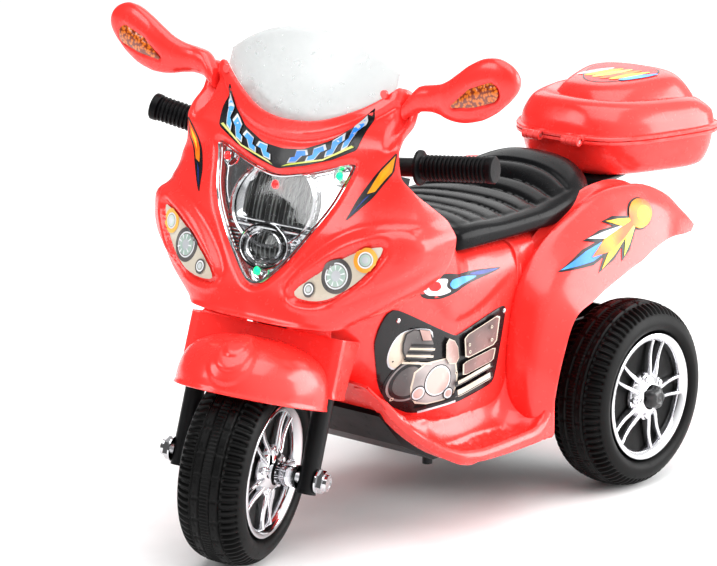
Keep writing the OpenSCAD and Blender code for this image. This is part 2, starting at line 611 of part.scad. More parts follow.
module output_gear() color([0.9, 0.9, 0.85]) along_x(gear_x - 8, [rear_axle_y, wheel_r]) difference() {
    union() {
        gear(output_teeth, 8, axle_d + 2 * running_gap);
        translate([0, 0, -15]) cylinder(r = dog_r - 4, h = 16);
        translate([0, 0, -20]) drive_dog(0);
    }
    translate([0, 0, -30]) cylinder(d = axle_d + 2 * running_gap, h = 60);
}
idler_d = 4;
module reduction_gear() color([0.9, 0.9, 0.85]) along_x(gear_x - 8, reduction_c) difference() {
    union() {
        rotate(mesh_turn(first_angle, output_teeth, small_teeth)) gear(small_teeth, 9, idler_d);
        translate([0, 0, 9]) gear(big_teeth, 6, idler_d);
    }
    translate([0, 0, -1]) cylinder(d = idler_d + 2 * running_gap, h = 30);
}
shaft_d = 3;
// The pinion is cut on the end of the motor's shaft
module motor_pinion() color(bright) along_x(gear_x + 1.6, motor_c) {
    rotate(mesh_turn(second_angle, big_teeth, pinion_teeth)) gear(pinion_teeth, 7, shaft_d / 2);
    cylinder(d = shaft_d, h = 26);
}
module drive_motor() color(steel) along_x(gear_x + 12, motor_c) difference() {
    union() { cylinder(r = 14, h = 38); translate([0, 0, -2]) cylinder(r = 5, h = 42); }
    translate([0, 0, -4]) cylinder(d = shaft_d + 2 * running_gap, h = 24);
}
case_x = gear_x - 11.7;
module case_disc(x, c, r, h) translate([x, c[0], c[1]]) rotate([0, 90, 0]) cylinder(r = r, h = h, $fn = 32);
module gearbox_case() color(black) in_place() {
    axle_c = [rear_axle_y, wheel_r];
    difference() {
        hull() {
            case_disc(case_x, axle_c, 33, 23.6);
            case_disc(case_x, reduction_c, 29, 23.6);
            case_disc(case_x, motor_c, 17, 23.6);
        }
        hull() {
            case_disc(case_x + 2, axle_c, 30.5, 19.6);
            case_disc(case_x + 2, reduction_c, 26.5, 19.6);
            case_disc(case_x + 2, motor_c, 14.5, 19.6);
        }
        case_disc(case_x - 1, axle_c, dog_r + 2, 4);
        translate([gear_x, rear_axle_y, wheel_r]) rotate([0, 90, 0]) cylinder(d = axle_d + 0.2, h = 20);
        translate([gear_x, motor_c[0], motor_c[1]]) rotate([0, 90, 0]) cylinder(r = 5.1, h = 20);
    }
    translate([case_x + 11.8, reduction_c[0], reduction_c[1]]) rod_x(idler_d, 21.6);
}

// ---- switches and pedal ----
module on_console() in_place() console_place() children();
module console_place() translate([0, console_y, console_z]) rotate([-console_tilt, 0, 0]) children();
module switch_console() color(black) on_console() difference() {
    translate([-32, -24, -5]) cube([64, 48, 13]);
    for (x = [-switch_x, switch_x]) translate([x - 8.2, -12.4, -6]) cube([16.4, 24.8, 20]);
}
module rocker(turn) translate([0, 0, 6]) rotate([turn, 0, 0]) {
    rotate([0, 90, 0]) cylinder(r = 5, h = 15.4, center = true);
    hull() { translate([-7.7, -10, 0]) cube([15.4, 20, 3]); translate([-7.7, -4, -3]) cube([15.4, 8, 3]); }
}
module power_switch() color([0.8, 0.1, 0.1]) on_console() translate([-switch_x, 0, 0]) rocker(-switch_turn);
module direction_switch() color([0.2, 0.2, 0.2]) on_console() translate([switch_x, 0, 0]) rocker(0);
module accelerator_pedal() color(black) in_place() translate([pedal_x, pedal_y, pedal_z]) {
    rotate([0, 90, 0]) cylinder(d = pedal_d, h = 48, center = true);
    rotate([8, 0, 0]) {
        translate([-20, 0, 0]) cube([40, 66, 4]);
        for (i = [0 : 5]) translate([-17, 12 + 9 * i, 3]) cube([34, 3, 2.4]);
    }
}
spring_z = tread_z - 12;
module pedal_spring() color(steel) in_place() translate([pedal_x, pedal_y + 42, spring_z]) difference() {
    cylinder(r = 5, h = 13);
    translate([0, 0, -1]) cylinder(r = 4, h = 16);
}

// ---- trunk ----
trunk_mid_y = trunk_front_y + trunk_len / 2;
lid_slope = -0.12;
function trunk_ring(z, g, slope = 0, n = 4, steps = 40) = [for (i = [0 : steps - 1])
    let (a = 360 * i / steps, v = power(sin(a), 2 / n), y = trunk_mid_y + (trunk_len / 2 + g) * v,
        w = (trunk_front_w + trunk_rear_w) / 2 + (trunk_rear_w - trunk_front_w) / 2 * v + g)
    [w * power(cos(a), 2 / n), y, z + slope * (y - trunk_mid_y)]];
module at_hinges(offsets = [0]) for (x = [-hinge_x, hinge_x], o = offsets)
    translate([x + o, hinge_y, hinge_z]) rotate([0, 90, 0]) children();
module hinge_hole(d) at_hinges() cylinder(d = d, h = 30, center = true);
module trunk_base() color(red) in_place() difference() {
    union() {
        stack([trunk_ring(295, -20), trunk_ring(300, -13), trunk_ring(316, -6), trunk_ring(rim_z - 5, -3),
            trunk_ring(rim_z - 4, 2), trunk_ring(rim_z - 0.4, 2)]);
        at_hinges() {
            cylinder(r = 5, h = 8, center = true);
            translate([0, 0, -4]) cube([5, 14, 8]);
        }
    }
    stack([trunk_ring(298, -23), trunk_ring(302, -16), trunk_ring(316, -9), trunk_ring(rim_z + 1, -6)]);
    hinge_hole(pin_d + 0.04);
}
module trunk_lid() color(red) in_place() difference() {
    union() {
        stack([trunk_ring(rim_z, 2), trunk_ring(rim_z + 4, 2), trunk_ring(rim_z + 5, -1),
            trunk_ring(rim_z + 16, -5), trunk_ring(rim_z + 26, -14, lid_slope),
            trunk_ring(rim_z + 38, -34, lid_slope, 3)]);
        stack([trunk_ring(rim_z + 30, -30, lid_slope, 3), trunk_ring(rim_z + 47, -38, lid_slope, 3),
            trunk_ring(rim_z + 54, -48, lid_slope, 2.6)]);
        at_hinges([-7.6, 7.6]) {
            cylinder(r = 5, h = 6, center = true);
            translate([-5, 0, -3]) cube([5, 14, 6]);
        }
    }
    stack([trunk_ring(rim_z - 1, -4), trunk_ring(rim_z + 16, -8), trunk_ring(rim_z + 24, -17, lid_slope),
        trunk_ring(rim_z + 35, -38, lid_slope, 3)]);
    hinge_hole(pin_d + 2 * running_gap);
    for (x = [-hinge_x, hinge_x]) translate([x - 4.4, hinge_y - 8, hinge_z - 8]) cube([8.8, 16, 14]);
}
module trunk_hinge_pins() color(steel) in_place() at_hinges() cylinder(d = pin_d, h = 22, center = true);
module trunk_bracket() color(black) in_place() hull() {
    translate([-52, 484, tail_z + 7.7]) cube([104, 44, 1]);
    translate([-44, 480, tail_z + 0.3]) cube([88, 20, 1]);
}

body_shell();
chassis_pan();
seat();
seat_screw();
front_cowl();
cowl_inner_panel();
windshield();
windshield_screws();
headlight_reflector();
headlight_lens();
headlight_leds();
side_lamp_left();
side_lamp_right();
mirror_left();
mirror_right();
mirror_reflector_left();
mirror_reflector_right();
mirror_glass_left();
mirror_glass_right();
steering_head();
steering_bushes();
fork();
front_fender();
front_axle();
front_axle_nuts();
front_spacers();
front_tyre();
front_cap_left();
front_cap_right();
handlebar();
grip_left();
grip_right();
handlebar_cover();
horn_button();
music_button();
engine_panel_left();
engine_panel_right();
engine_panel_rivets();
battery();
battery_strap();
drive_motor();
motor_pinion();
reduction_gear();
output_gear();
gearbox_case();
rear_axle();
rear_axle_nuts();
rear_left_tyre();
rear_left_cap();
rear_right_tyre();
rear_right_cap();
switch_console();
power_switch();
direction_switch();
accelerator_pedal();
pedal_spring();
trunk_bracket();
trunk_base();
trunk_lid();
trunk_hinge_pins();
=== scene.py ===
"""Looks of a child's three-wheel ride-on motorcycle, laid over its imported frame.

Lengths inside the makers are millimetres measured from the front axle, as in the part's source;
place() and STEERED turn them into the scene's metres.
"""
import json
import math

import bmesh
import bpy
from bpy.props import FloatProperty, FloatVectorProperty, IntProperty, PointerProperty
from mathutils import Matrix, Vector
from mathutils.bvhtree import BVHTree

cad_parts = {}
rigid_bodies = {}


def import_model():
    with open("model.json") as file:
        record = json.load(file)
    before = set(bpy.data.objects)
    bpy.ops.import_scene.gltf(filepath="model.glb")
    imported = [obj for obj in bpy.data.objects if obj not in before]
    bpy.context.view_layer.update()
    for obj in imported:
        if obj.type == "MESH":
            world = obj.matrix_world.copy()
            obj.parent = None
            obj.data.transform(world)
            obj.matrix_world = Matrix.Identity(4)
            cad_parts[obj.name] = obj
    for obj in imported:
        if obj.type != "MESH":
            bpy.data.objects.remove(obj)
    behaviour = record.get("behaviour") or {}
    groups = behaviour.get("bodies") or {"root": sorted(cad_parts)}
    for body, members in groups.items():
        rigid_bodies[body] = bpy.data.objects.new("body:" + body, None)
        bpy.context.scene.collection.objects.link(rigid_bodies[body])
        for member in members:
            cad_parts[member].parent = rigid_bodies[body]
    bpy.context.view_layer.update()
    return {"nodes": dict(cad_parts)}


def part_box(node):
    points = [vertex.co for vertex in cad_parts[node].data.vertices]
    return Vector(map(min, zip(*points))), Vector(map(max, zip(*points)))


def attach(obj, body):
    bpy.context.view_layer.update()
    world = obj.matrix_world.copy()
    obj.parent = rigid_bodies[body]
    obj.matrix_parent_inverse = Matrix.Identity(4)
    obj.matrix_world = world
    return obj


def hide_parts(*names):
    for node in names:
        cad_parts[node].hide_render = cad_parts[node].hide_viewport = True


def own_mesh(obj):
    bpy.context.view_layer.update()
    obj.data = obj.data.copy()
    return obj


bl_info = {
    "name": "Ride-on motorcycle looks",
    "version": (1, 0, 0),
    "blender": (4, 5, 0),
    "location": "View3D > Sidebar > Ride-on",
    "description": "Moulded shells, wheels, lamps and finishes of a child's ride-on motorcycle",
    "category": "Add Mesh",
}

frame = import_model()

# ---- the photograph ----
PHOTO_W = 717
PHOTO_H = 566
POINTS = {
    "round_lamp": (274, 203),
    "projector_lamp": (262, 246),
    "left_lamp_ring": (339.5, 275),
    "right_lamp_ring": (190, 245),
    "left_shield_screw": (384, 94.5),
    "right_shield_screw": (226.5, 68.5),
    "band_left_tip": (377, 107),
    "cowl_stripe_top": (399, 152),
    "swoosh_tip": (505, 265),
    "flash_head": (639, 213),
    "panel_front_rivet": (397.5, 320),
    "panel_rear_rivet": (503, 310.5),
    "seat_screw": (532.5, 159.5),
    "left_fork_nut": (326.5, 482.5),
    "front_hub": (279, 471),
    "rear_hub": (653.5, 398),
}
# The place, in metres, of what each point shows
SHOWN = {}

# ---- camera, settled by those points ----
CAMERA_PLACE = Vector((2.1269, -2.6028, 1.0755))
CAMERA_AZIMUTH = 40.491
CAMERA_ELEVATION = 14.307
LENS = 175.73
SENSOR = 36.0

# ---- places taken from the frame ----
MM = 0.001
FRONT = sum((Vector(corner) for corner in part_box("front_axle")), Vector()) / 2
REAR = sum((Vector(corner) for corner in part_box("rear_axle")), Vector()) / 2
REAR_Y = (REAR.y - FRONT.y) / MM
WHEEL_R = REAR.z / MM
RAKE = math.radians(17.35)
STEER = math.radians(19)
STEERED = (
    Matrix.Translation(FRONT)
    @ Matrix.Rotation(-RAKE, 4, "X")
    @ Matrix.Rotation(STEER, 4, "Z")
    @ Matrix.Scale(MM, 4)
)
BUILT = Matrix.Translation((0, FRONT.y, 0)) @ Matrix.Scale(MM, 4)
MIRROR = Matrix.Scale(-1, 4, (1, 0, 0))
SIDES = ((1, "left"), (-1, "right"))


def place(x, y, z):
    """A place in metres, from millimetres behind the front axle and above the floor."""
    return BUILT @ Vector((x, y, z))


def sided(side, matrix=BUILT):
    """The matrix that sets a piece drawn for the left on either side."""
    return matrix if side > 0 else matrix @ MIRROR


# ---- small sums ----
def clamp(value, low=0.0, high=1.0):
    return min(high, max(low, value))


def rise(low, high, value):
    """0 below low, 1 above high, and a smooth slope between them."""
    t = clamp((value - low) / (high - low))
    return t * t * (3 - 2 * t)


def bump(value, middle, width):
    return math.exp(-(((value - middle) / width) ** 2))


def power(value, exponent):
    return math.copysign(abs(value) ** exponent, value)


def mix(a, b, t):
    return a + (b - a) * t


def station(table, at):
    """Values at a place between the stations of a table, on curves that don't overshoot."""
    ordered = table if table[0][0] < table[-1][0] else table[::-1]
    at = clamp(at, ordered[0][0], ordered[-1][0])
    i = max(k for k in range(len(ordered) - 1) if ordered[k][0] <= at)

    def slope(k, column):
        before, after = max(k, 1), min(k + 1, len(ordered) - 1)
        rates = [
            (ordered[n][column] - ordered[n - 1][column]) / (ordered[n][0] - ordered[n - 1][0])
            for n in (before, after)
        ]
        if rates[0] * rates[1] <= 0:
            return 0.0
        return 2 * rates[0] * rates[1] / (rates[0] + rates[1])

    a, b = ordered[i], ordered[i + 1]
    span = b[0] - a[0]
    t = (at - a[0]) / span
    values = []
    for column in range(1, len(a)):
        start, end = slope(i, column) * span, slope(i + 1, column) * span
        if i == 0:
            start = b[column] - a[column]
        if i == len(ordered) - 2:
            end = b[column] - a[column]
        values.append(
            (2 * t**3 - 3 * t**2 + 1) * a[column]
            + (t**3 - 2 * t**2 + t) * start
            + (3 * t**2 - 2 * t**3) * b[column]
            + (t**3 - t**2) * end
        )
    return values


def even(points, count, closed=False):
    """The same line with its points spaced evenly."""
    line = [Vector(p) for p in points]
    if closed:
        line.append(line[0])
    marks = [0.0]
    for a, b in zip(line, line[1:]):
        marks.append(marks[-1] + (b - a).length)
    steps = count if closed else count - 1
    spaced, k = [], 0
    for n in range(count):
        at = marks[-1] * n / steps
        while k < len(marks) - 2 and marks[k + 1] < at:
            k += 1
        share = (at - marks[k]) / max(marks[k + 1] - marks[k], 1e-9)
        spaced.append(line[k].lerp(line[k + 1], clamp(share)))
    return spaced


def softened(outline, turns=2, closed=True, cut=0.25):
    """An outline with its corners cut into curves."""
    line = [Vector(p) for p in outline]
    for _ in range(turns):
        cutting = []
        pairs = list(zip(line, line[1:] + line[:1])) if closed else list(zip(line, line[1:]))
        for a, b in pairs:
            cutting += [a.lerp(b, cut), a.lerp(b, 1 - cut)]
        line = cutting if closed else [line[0]] + cutting[1:-1] + [line[-1]]
    return line


def circle(centre, radius, steps=32, squash=1.0):
    turns = [2 * math.pi * k / steps for k in range(steps)]
    return [(centre[0] + radius * math.cos(a), centre[1] + squash * radius * math.sin(a)) for a in turns]


def mirrored(half):
    """A closed outline from its half on the +X side, listed from the middle round to the middle."""
    return [tuple(p) for p in half] + [(-p[0], p[1]) for p in half[-2:0:-1]]


def depth_in(outline, x, z):
    """How far a place is inside an outline, or outside it where negative."""
    nearest, inside = 1e12, False
    ax, az = outline[-1][0], outline[-1][1]
    for corner in outline:
        bx, bz = corner[0], corner[1]
        ux, uz = bx - ax, bz - az
        t = clamp(((x - ax) * ux + (z - az) * uz) / max(ux * ux + uz * uz, 1e-9))
        nearest = min(nearest, (x - ax - t * ux) ** 2 + (z - az - t * uz) ** 2)
        if (az > z) != (bz > z) and x < ax + ux * (z - az) / uz:
            inside = not inside
        ax, az = bx, bz
    return math.sqrt(nearest) if inside else -math.sqrt(nearest)


# ---- meshes ----
def linked(name, data):
    """A new object in the scene."""
    obj = bpy.data.objects.new(name, data)
    bpy.context.scene.collection.objects.link(obj)
    return obj


def add_mesh(name, points, faces, matrix=BUILT):
    mesh = bpy.data.meshes.new(name)
    mesh.from_pydata([tuple(matrix @ Vector(p)) for p in points], [], faces)
    mesh.validate()
    return linked(name, mesh)


def sheet(rows, around=False, caps=False):
    """Points and faces of a net of rows; around joins each row's ends, caps closes the end rows."""
    across = len(rows[0])
    points = [p for row in rows for p in row]
    last = across if around else across - 1
    faces = []
    for i in range(len(rows) - 1):
        for j in range(last):
            k = (j + 1) % across
            faces.append((i * across + j, i * across + k, (i + 1) * across + k, (i + 1) * across + j))
    if caps:
        faces.append(tuple(range(across))[::-1])
        faces.append(tuple((len(rows) - 1) * across + j for j in range(across)))
    return points, faces


def joined(parts):
    """One set of points and faces from several."""
    points, faces = [], []
    for some_points, some_faces in parts:
        base = len(points)
        points += list(some_points)
        faces += [tuple(base + i for i in face) for face in some_faces]
    return points, faces


def revolved(profile, steps=48, centre=(0, 0, 0)):
    """A net turned about X from a profile of (radius, x)."""
    rows = []
    for r, x in profile:
        turns = [2 * math.pi * k / steps for k in range(steps)]
        rows.append(
            [(centre[0] + x, centre[1] + r * math.cos(a), centre[2] + r * math.sin(a)) for a in turns]
        )
    return sheet(rows, around=True)


def pushed(rows, amount, around=False):
    """The net moved along its own normals by amount(point, column) in millimetres."""
    count, across = len(rows), len(rows[0])
    moved = []
    for i in range(count):
        row = []
        for j in range(across):
            left = rows[i][j - 1] if j > 0 or around else rows[i][j]
            right = rows[i][(j + 1) % across] if j < across - 1 or around else rows[i][j]
            below, above = rows[max(i - 1, 0)][j], rows[min(i + 1, count - 1)][j]
            normal = (right - left).cross(above - below)
            size = amount(rows[i][j], j)
            row.append(rows[i][j] + normal.normalized() * size if size and normal.length else rows[i][j])
        moved.append(row)
    return moved


def faced(obj, centre, outward=True):
    """Turns a net's faces away from a place in metres, or towards it."""
    mesh = obj.data
    total = sum((p.center - centre).dot(p.normal) * p.area for p in mesh.polygons)
    if (total < 0) == outward:
        mesh.flip_normals()


def modify(obj, kind, **settings):
    change = obj.modifiers.new(kind.title(), kind)
    for key, value in settings.items():
        setattr(change, key, value)


def shell(name, net, inside, thickness, matrix=BUILT):
    """A net of points and faces, turned away from a place inside it and thickened inwards."""
    obj = add_mesh(name, *net, matrix)
    faced(obj, inside)
    modify(obj, "SOLIDIFY", thickness=thickness, offset=-1)
    return obj


def bevelled(obj, width, segments=2, angle=1.0):
    modify(obj, "BEVEL", width=width, segments=segments, limit_method="ANGLE", angle_limit=angle)


def settle(obj, angle=32):
    """Applies a piece's modifiers and keeps the edges sharper than the angle crisp."""
    view = bpy.context.evaluated_depsgraph_get()
    if obj.modifiers:
        mesh = bpy.data.meshes.new_from_object(obj.evaluated_get(view))
        obj.modifiers.clear()
        obj.data = mesh
    obj.data.shade_smooth()
    obj.data.set_sharp_from_angle(angle=math.radians(angle))
    return obj


def cut_away(obj, outline, y0, y1):
    """Cuts a hole of this X and Z outline through a shell, between two depths."""
    count = len(outline)
    points = [(p[0], y, p[1]) for y in (y0, y1) for p in outline]
    sides = [(j, (j + 1) % count, count + (j + 1) % count, count + j) for j in range(count)]
    cutter = add_mesh("cutter", points, sides + [tuple(range(count))[::-1], tuple(range(count, 2 * count))])
    faced(cutter, place(0, (y0 + y1) / 2, outline[0][1]))
    modify(obj, "BOOLEAN", operation="DIFFERENCE", object=cutter, solver="EXACT")
    settle(obj)
    bpy.data.objects.remove(cutter)


def patch(outline, cell):
    """A flat outline cut into cells: its points as (across, up) and its faces."""
    flat = bmesh.new()
    flat.faces.new([flat.verts.new((p[0], p[1], 0)) for p in outline])
    for axis in (0, 1):
        low = min(p[axis] for p in outline)
        high = max(p[axis] for p in outline)
        normal = Vector((1 - axis, axis, 0))
        for k in range(1, int((high - low) / cell) + 1):
            at = normal * (low + k * cell)
            everything = flat.verts[:] + flat.edges[:] + flat.faces[:]
            bmesh.ops.bisect_plane(flat, geom=everything, plane_co=at, plane_no=normal, dist=1e-5)
    flat.verts.index_update()
    points = [(v.co.x, v.co.y) for v in flat.verts]
    faces = [tuple(v.index for v in f.verts) for f in flat.faces]
    flat.free()
    return points, faces


def skin_of(name):
    """What the finished surface of a piece gives to rays."""
    obj = bpy.data.objects[name]
    corners = [obj.matrix_world @ v.co for v in obj.data.vertices]
    return BVHTree.FromPolygons(corners, [list(p.vertices) for p in obj.data.polygons])


def laid_on(tree, start, direction, lift):
    """The place where a line from start first meets a surface, lifted off it; the nearest if it misses."""
    hit, normal, _, _ = tree.ray_cast(start, direction)
    if hit is None:
        hit, normal, _, _ = tree.find_nearest(start + direction * 0.3)
    if normal.dot(direction) > 0:
        normal = -normal
    return hit + normal * lift


# ---- the camera's rays ----
def camera_axes():
    azimuth, elevation = math.radians(CAMERA_AZIMUTH), math.radians(CAMERA_ELEVATION)
    back = Vector(
        (
            math.sin(azimuth) * math.cos(elevation),
            -math.cos(azimuth) * math.cos(elevation),
            math.sin(elevation),
        )
    )
    return (-back).to_track_quat("-Z", "Y")


def seen_at(point_name, tree, lift=0.0):
    """The place on a surface that the photograph shows at a named image point."""
    x, y = POINTS[point_name]
    longest = max(PHOTO_W, PHOTO_H)
    ray = camera_axes() @ Vector((x - PHOTO_W / 2, PHOTO_H / 2 - y, -longest * LENS / SENSOR))
    ray.normalize()
    hit, normal, _, _ = tree.ray_cast(CAMERA_PLACE, ray)
    if hit is None:
        near = [tree.find_nearest(CAMERA_PLACE + ray * (3.0 + 0.01 * k)) for k in range(80)]
        hit, normal = min(((n[0], n[1]) for n in near), key=lambda n: off_ray(n[0], ray))
    return hit + normal * lift


def off_ray(spot, ray):
    away = spot - CAMERA_PLACE
    return (away - ray * away.dot(ray)).length


def shown_at(spot):
    """Where the camera shows a place, in the photograph's pixels."""
    local = camera_axes().inverted() @ (Vector(spot) - CAMERA_PLACE)
    scale = max(PHOTO_W, PHOTO_H) * LENS / SENSOR / -local.z
    return PHOTO_W / 2 + local.x * scale, PHOTO_H / 2 - local.y * scale


# ---- what a user can change ----
def colour_of(name, value, description):
    return FloatVectorProperty(
        name=name, description=description, subtype="COLOR", size=3, min=0, max=1, default=value
    )


class RideOnSizes(bpy.types.PropertyGroup):
    wall: FloatProperty(
        name="Shell wall", description="Thickness of the moulded shells", default=0.003, unit="LENGTH"
    )
    sticker_lift: FloatProperty(
        name="Sticker lift", description="Height of a sticker over its shell", default=0.0003, unit="LENGTH"
    )
    tread_lugs: IntProperty(name="Tread lugs", description="Shoulder lugs around a tyre", default=78)
    seat_pleats: IntProperty(name="Seat pleats", description="Channels across the seat", default=7)
    pleat_depth: FloatProperty(
        name="Pleat depth", description="Depth of a seat channel", default=0.0032, unit="LENGTH"
    )
    grip_ribs: IntProperty(name="Grip ribs", description="Rings along a grip", default=15)
    board_grooves: IntProperty(name="Board grooves", description="Grooves in a footboard", default=10)
    light: FloatProperty(name="Studio light", description="Strength of the soft lights", default=1.0)


class RideOnColours(bpy.types.PropertyGroup):
    shell: colour_of("Shell red", (0.92, 0.030, 0.024), "Moulded body plastic")
    trim: colour_of("Trim black", (0.0025, 0.0025, 0.003), "Seat, forks, bars and grips")
    tyre: colour_of("Tyre black", (0.002, 0.002, 0.002), "Moulded tyres")
    chrome: colour_of("Bright plating", (0.66, 0.66, 0.68), "Wheel covers and lamp housing")
    screen: colour_of("Screen", (0.74, 0.76, 0.76), "Windshield")
    amber: colour_of("Amber", (0.72, 0.16, 0.008), "Reflectors")
    sky: colour_of("Sky blue", (0.02, 0.20, 0.75), "Stickers")
    lime: colour_of("Lime", (0.55, 0.62, 0.05), "Stickers")
    sun: colour_of("Sun yellow", (0.95, 0.62, 0.02), "Stickers")
    flame: colour_of("Flame orange", (0.90, 0.10, 0.01), "Stickers")
    floor: colour_of("Floor", (0.93, 0.93, 0.93), "Studio floor")


# ---- shader building ----
class Recipe:
    """Lays shader nodes in a tree and joins them."""

    def __init__(self, tree):
        self.tree = tree

    def add(self, kind, inputs=None, **settings):
        node = self.tree.nodes.new(kind)
        for key, value in settings.items():
            setattr(node, key, value)
        for key, value in (inputs or {}).items():
            self.join(node.inputs[key], value)
        return node

    def join(self, socket, value):
        if isinstance(value, bpy.types.NodeSocket):
            self.tree.links.new(value, socket)
        else:
            socket.default_value = value

    def math(self, operation, a, b=0.5):
        return self.add("ShaderNodeMath", {0: a, 1: b}, operation=operation).outputs[0]

    def mix(self, share, a, b):
        node = self.add("ShaderNodeMix", {0: share, 6: a, 7: b}, data_type="RGBA")
        return node.outputs[2]

    def span(self, value, low, high, start=0.0, end=1.0):
        numbers = {"Value": value, "From Min": low, "From Max": high, "To Min": start, "To Max": end}
        return self.add("ShaderNodeMapRange", numbers).outputs[0]

    def spot(self):
        return self.add("ShaderNodeTexCoord").outputs["Object"]

    def noise(self, scale, detail=2.0):
        numbers = {"Vector": self.spot(), "Scale": scale, "Detail": detail}
        return self.add("ShaderNodeTexNoise", numbers).outputs["Fac"]

    def cells(self, scale, **settings):
        numbers = {"Vector": self.spot(), "Scale": scale}
        return self.add("ShaderNodeTexVoronoi", numbers, **settings).outputs["Distance"]


def new_group(name, inputs, outputs):
    """An empty shader group with named sockets, its recipe, and its input and output nodes."""
    tree = bpy.data.node_groups.new(name, "ShaderNodeTree")
    for direction, sockets in (("INPUT", inputs), ("OUTPUT", outputs)):
        for label, kind, *default in sockets:
            socket = tree.interface.new_socket(label, in_out=direction, socket_type="NodeSocket" + kind)
            if default:
                socket.default_value = default[0]
    recipe = Recipe(tree)
    return recipe, recipe.add("NodeGroupInput").outputs, recipe.add("NodeGroupOutput")


def moulded_skin():
    """Uneven pigment, gloss and fine grain of injection-moulded plastic."""
    inputs = [("Colour", "Color"), ("Gloss Roughness", "Float", 0.3), ("Grain", "Float", 600.0)]
    recipe, given, out = new_group(
        "moulded_skin", inputs, [("Colour", "Color"), ("Roughness", "Float"), ("Height", "Float")]
    )
    broad = recipe.noise(7.0, 3.0)
    shade = recipe.span(broad, 0.3, 0.7, 0.93, 1.04)
    tone = recipe.add("ShaderNodeHueSaturation", {"Value": shade, "Color": given["Colour"]})
    recipe.join(out.inputs["Colour"], tone.outputs[0])
    cloudy = recipe.span(recipe.noise(38.0, 4.0), 0.3, 0.7, -0.03, 0.05)
    recipe.join(out.inputs["Roughness"], recipe.math("ADD", given["Gloss Roughness"], cloudy))
    fine = recipe.add("ShaderNodeTexNoise", {"Vector": recipe.spot(), "Scale": given["Grain"]})
    recipe.join(out.inputs["Height"], fine.outputs["Fac"])
    return recipe.tree


def handling_wear():
    """Rubbed convex edges and faint scuffs, as a lighter colour and a roughness to add."""
    inputs = [("Colour", "Color"), ("Roughness", "Float", 0.3), ("Amount", "Float", 0.3)]
    recipe, given, out = new_group("handling_wear", inputs, [("Colour", "Color"), ("Roughness", "Float")])
    edge = recipe.span(recipe.add("ShaderNodeNewGeometry").outputs["Pointiness"], 0.515, 0.58)
    patchy = recipe.span(recipe.noise(55.0, 6.0), 0.42, 0.62)
    rubbed = recipe.math("MULTIPLY", recipe.math("MULTIPLY", edge, patchy), given["Amount"])
    scuffs = recipe.span(recipe.noise(140.0, 8.0), 0.60, 0.72)
    numbers = {"Value": 1.5, "Saturation": 0.8, "Color": given["Colour"]}
    light = recipe.add("ShaderNodeHueSaturation", numbers)
    recipe.join(out.inputs["Colour"], recipe.mix(rubbed, given["Colour"], light.outputs[0]))
    rough = recipe.math("MULTIPLY", recipe.math("ADD", rubbed, scuffs), 0.12)
    recipe.join(out.inputs["Roughness"], recipe.math("ADD", given["Roughness"], rough))
    return recipe.tree


def pebble_grain():
    """Small rounded pebbles of a leather-like or cast surface, as a height."""
    recipe, given, out = new_group("pebble_grain", [("Scale", "Float", 500.0)], [("Height", "Float")])
    away = recipe.cells(given["Scale"], feature="SMOOTH_F1")
    recipe.join(out.inputs["Height"], recipe.math("SUBTRACT", 1.0, away))
    return recipe.tree


GROUPS = {}


def group(recipe, name, inputs):
    makers = {"moulded_skin": moulded_skin, "handling_wear": handling_wear, "pebble_grain": pebble_grain}
    if name not in GROUPS:
        GROUPS[name] = makers[name]()
    node = recipe.tree.nodes.new("ShaderNodeGroup")
    node.node_tree = GROUPS[name]
    for key, value in inputs.items():
        recipe.join(node.inputs[key], value)
    return node.outputs


def rgba(colour):
    return (*colour[:3], 1.0)


FINISHES = {}


def finish(name, colour, roughness=0.3, grain=600.0, relief=0.1, wear=0.3, **more):
    """A moulded, cast or plated finish; more holds plain numbers for the shader's own sockets."""
    if name in FINISHES:
        return FINISHES[name]
    material = bpy.data.materials.new(name)
    material.use_nodes = True
    recipe = Recipe(material.node_tree)
    shader = material.node_tree.nodes["Principled BSDF"]
    numbers = {"Colour": rgba(colour), "Gloss Roughness": roughness, "Grain": grain}
    skin = group(recipe, "moulded_skin", numbers)
    numbers = {"Colour": skin["Colour"], "Roughness": skin["Roughness"], "Amount": wear}
    worn = group(recipe, "handling_wear", numbers)
    recipe.join(shader.inputs["Base Color"], worn["Colour"])
    recipe.join(shader.inputs["Roughness"], worn["Roughness"])
    height = skin["Height"]
    if more.pop("pebbled", False):
        height = group(recipe, "pebble_grain", {"Scale": grain})["Height"]
    raised = recipe.add("ShaderNodeBump", {"Strength": relief, "Distance": 0.0004, "Height": height})
    recipe.join(shader.inputs["Normal"], raised.outputs["Normal"])
    for key, value in more.items():
        label = key.replace("_", " ").title().replace("Ior", "IOR")
        shader.inputs[label].default_value = value
    FINISHES[name] = material
    return material


def retint(material, make_colour):
    """Gives a finish a colour worked out by make_colour(recipe)."""
    recipe = Recipe(material.node_tree)
    for node in material.node_tree.nodes:
        if node.type == "GROUP" and node.node_tree.name == "moulded_skin":
            recipe.join(node.inputs["Colour"], make_colour(recipe))
    return material


def colours():
    return bpy.context.scene.ride_on_colours


def sizes():
    return bpy.context.scene.ride_on_sizes


def shell_red():
    return finish(
        "shell_red", colours().shell, 0.24, 520, 0.07, 0.2,
        coat_weight=0.3, coat_roughness=0.1, specular_ior_level=0.4,
    )


def trim_black():
    return finish("trim_black", colours().trim, 0.36, 800, 0.12, 0.1, specular_ior_level=0.2)


def satin_black():
    return finish(
        "seat_black", colours().trim, 0.24, 1100, 0.05, 0.1,
        pebbled=True, coat_weight=0.03, coat_roughness=0.06, specular_ior_level=0.09,
    )


def tyre_black():
    return finish("tyre_black", colours().tyre, 0.45, 900, 0.2, 0.1, specular_ior_level=0.12)


def plating():
    return finish("bright_plating", colours().chrome, 0.07, 300, 0.02, 0.1, metallic=1.0)


def zinc():
    return finish("zinc_steel", (0.55, 0.55, 0.56), 0.24, 500, 0.1, 0.3, metallic=1.0)


